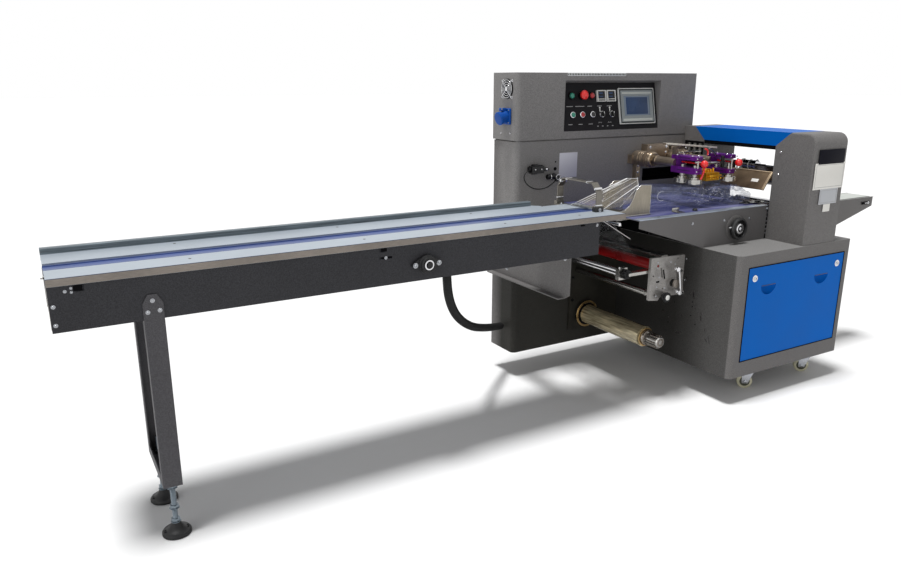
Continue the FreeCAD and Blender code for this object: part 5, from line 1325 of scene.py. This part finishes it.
def discharge():
    """Slots, bolts and top edges of the discharge conveyor."""
    # Near-black fills in the discharge side slots: painted shade inside them.
    slot = Piece("discharge_slots", PAINTED_SHADE_BLACK)
    for y, inward in ((65.6, 0.8), (208.6, 0.8)):
        slot.block((3622, y, 730), (3686, y + inward, 742))
    slot.done()
    bolts = Piece("discharge_bolts", CHROME)
    bolts.screw((3674, 65.6, 736.5), FRONT, 4.4)
    bolts.screw((3674, 209.4, 736.5), (0, 1, 0), 4.4)
    bolts.rod((3646, 65, 736), (3668, 65, 736), 2, 14, 0.5)
    for x, z in ((3190, 640), (3190, 590), (3340, 735)):
        bolts.screw((x, 66, z), FRONT, 4.5)
        bolts.screw((x, 209, z), (0, 1, 0), 4.5)
    bolts.done()
    edges = Piece("discharge_top_edges", LIGHT_EDGE)
    edges.block((3052, 65.4, 764.4), (3714, 69, 766), 0.4)
    edges.block((3052, 206, 764.4), (3714, 209.6, 766), 0.4)
    edges.done()


# ---------------------------------------------------------------- rear side

def rear_side():
    """Plain rear covers with their screws."""
    cover = Piece("rear_cover_plates", GREY_PAINT)
    cover.block((1930, 705.6, 200), (2400, 708, 1040), 1)
    cover.block((2520, 705.6, 180), (3080, 708, 600), 1)
    cover.block((1900, 708.6, 1110), (2800, 711, 1330), 1)
    cover.done()
    screws = Piece("rear_cover_screws", ZINC)
    for x, y, z in ((1945, 708, 215), (2385, 708, 215), (1945, 708, 1025), (2385, 708, 1025),
                    (1945, 708, 620), (2385, 708, 620), (2535, 708, 195), (3065, 708, 195), (2535, 708, 585),
                    (3065, 708, 585), (1915, 711, 1125), (2785, 711, 1125), (1915, 711, 1315), (2785, 711, 1315)):
        screws.screw((x, y, z), (0, 1, 0), 4)
    screws.done()
    # Near-black fills in the rear vent slots: painted shade inside them.
    vents = Piece("rear_vent_slots", PAINTED_SHADE_BLACK)
    for row in range(8):
        z = 250 + row * 18
        vents.block((2000, 707.8, z), (2330, 708.6, z + 6), 0.2)
        vents.block((2600, 707.8, z - 20), (3000, 708.6, z - 14), 0.2)
    vents.done()


# ---------------------------------------------------------------- stage

def show_white(tree, shaded, output):
    """What the camera, metal and glass see is white; other light meets the first shader."""
    white = add(tree, "ShaderNodeBackground", Color=(1, 1, 1, 1), Strength=1.0)
    path = add(tree, "ShaderNodeLightPath")
    glossy = add(tree, "ShaderNodeMath", operation="MAXIMUM")
    seen = add(tree, "ShaderNodeMath", operation="MAXIMUM")
    mix = add(tree, "ShaderNodeMixShader")
    tree.links.new(path.outputs["Is Glossy Ray"], glossy.inputs[0])
    tree.links.new(path.outputs["Is Transmission Ray"], glossy.inputs[1])
    tree.links.new(path.outputs["Is Camera Ray"], seen.inputs[0])
    tree.links.new(glossy.outputs[0], seen.inputs[1])
    tree.links.new(seen.outputs[0], mix.inputs[0])
    tree.links.new(shaded, mix.inputs[1])
    tree.links.new(white.outputs[0], mix.inputs[2])
    tree.links.new(mix.outputs[0], output)


def pale_floor():
    """A white floor that keeps the machine's shadow."""
    mesh = bmesh.new()
    bmesh.ops.create_grid(mesh, x_segments=1, y_segments=1, size=60)
    data = bpy.data.meshes.new("floor")
    mesh.to_mesh(data)
    mesh.free()
    floor = bpy.data.objects.new("floor", data)
    bpy.context.scene.collection.objects.link(floor)
    material, tree, shader = new_material("pale_floor")
    shader.inputs["Base Color"].default_value = (0.90, 0.90, 0.90, 1)
    shader.inputs["Roughness"].default_value = 1.0
    shader.inputs["Specular IOR Level"].default_value = 0.0
    data.materials.append(material)


def lamp(name, kind, place, target, strength, **values):
    light = bpy.data.lights.new(name, kind)
    light.energy = strength
    for key, value in values.items():
        setattr(light, key, value)
    holder = bpy.data.objects.new(name, light)
    holder.location = place
    holder.rotation_euler = (Vector(target) - Vector(place)).to_track_quat("-Z", "Y").to_euler()
    bpy.context.scene.collection.objects.link(holder)


def stage():
    """Pale floor, soft lamps, the white studio and the camera."""
    pale_floor()
    world = bpy.data.worlds.new("studio")
    bpy.context.scene.world = world
    world.use_nodes = True
    tree = world.node_tree
    background = tree.nodes["Background"]
    background.inputs["Color"].default_value = (1, 1, 1, 1)
    background.inputs["Strength"].default_value = 0.30
    show_white(tree, background.outputs[0], tree.nodes["World Output"].inputs["Surface"])

    lamp("overhead", "SUN", (-0.75, 0.02, 4), (0, 0, 0), 2.9, angle=math.radians(12))
    lamp("side", "SUN", (-5, -2.6, 2.0), (0, 0, 0.3), 0.42, angle=math.radians(40))

    camera = bpy.data.cameras.new("camera")
    camera.sensor_width = 36
    camera.lens = 29.724
    camera.clip_end = 200
    viewer = bpy.data.objects.new("camera", camera)
    viewer.location = at(-15.6, -2120.7, 1333.5)
    viewer.rotation_euler = (math.radians(90 - 15.48), 0, math.radians(-29.89))
    bpy.context.scene.collection.objects.link(viewer)
    bpy.context.scene.camera = viewer
    bpy.context.scene.view_settings.view_transform = "Standard"


dress_nodes()
stage()
corrugated_hose()
sensor_cord()
infeed()
feet()
cabinet()
inlet()
eye_sensor()
panel()
guides()
film()
deck()
seal_unit()
portal()
lower_cabinet()
castors()
unwinding()
discharge()
rear_side()
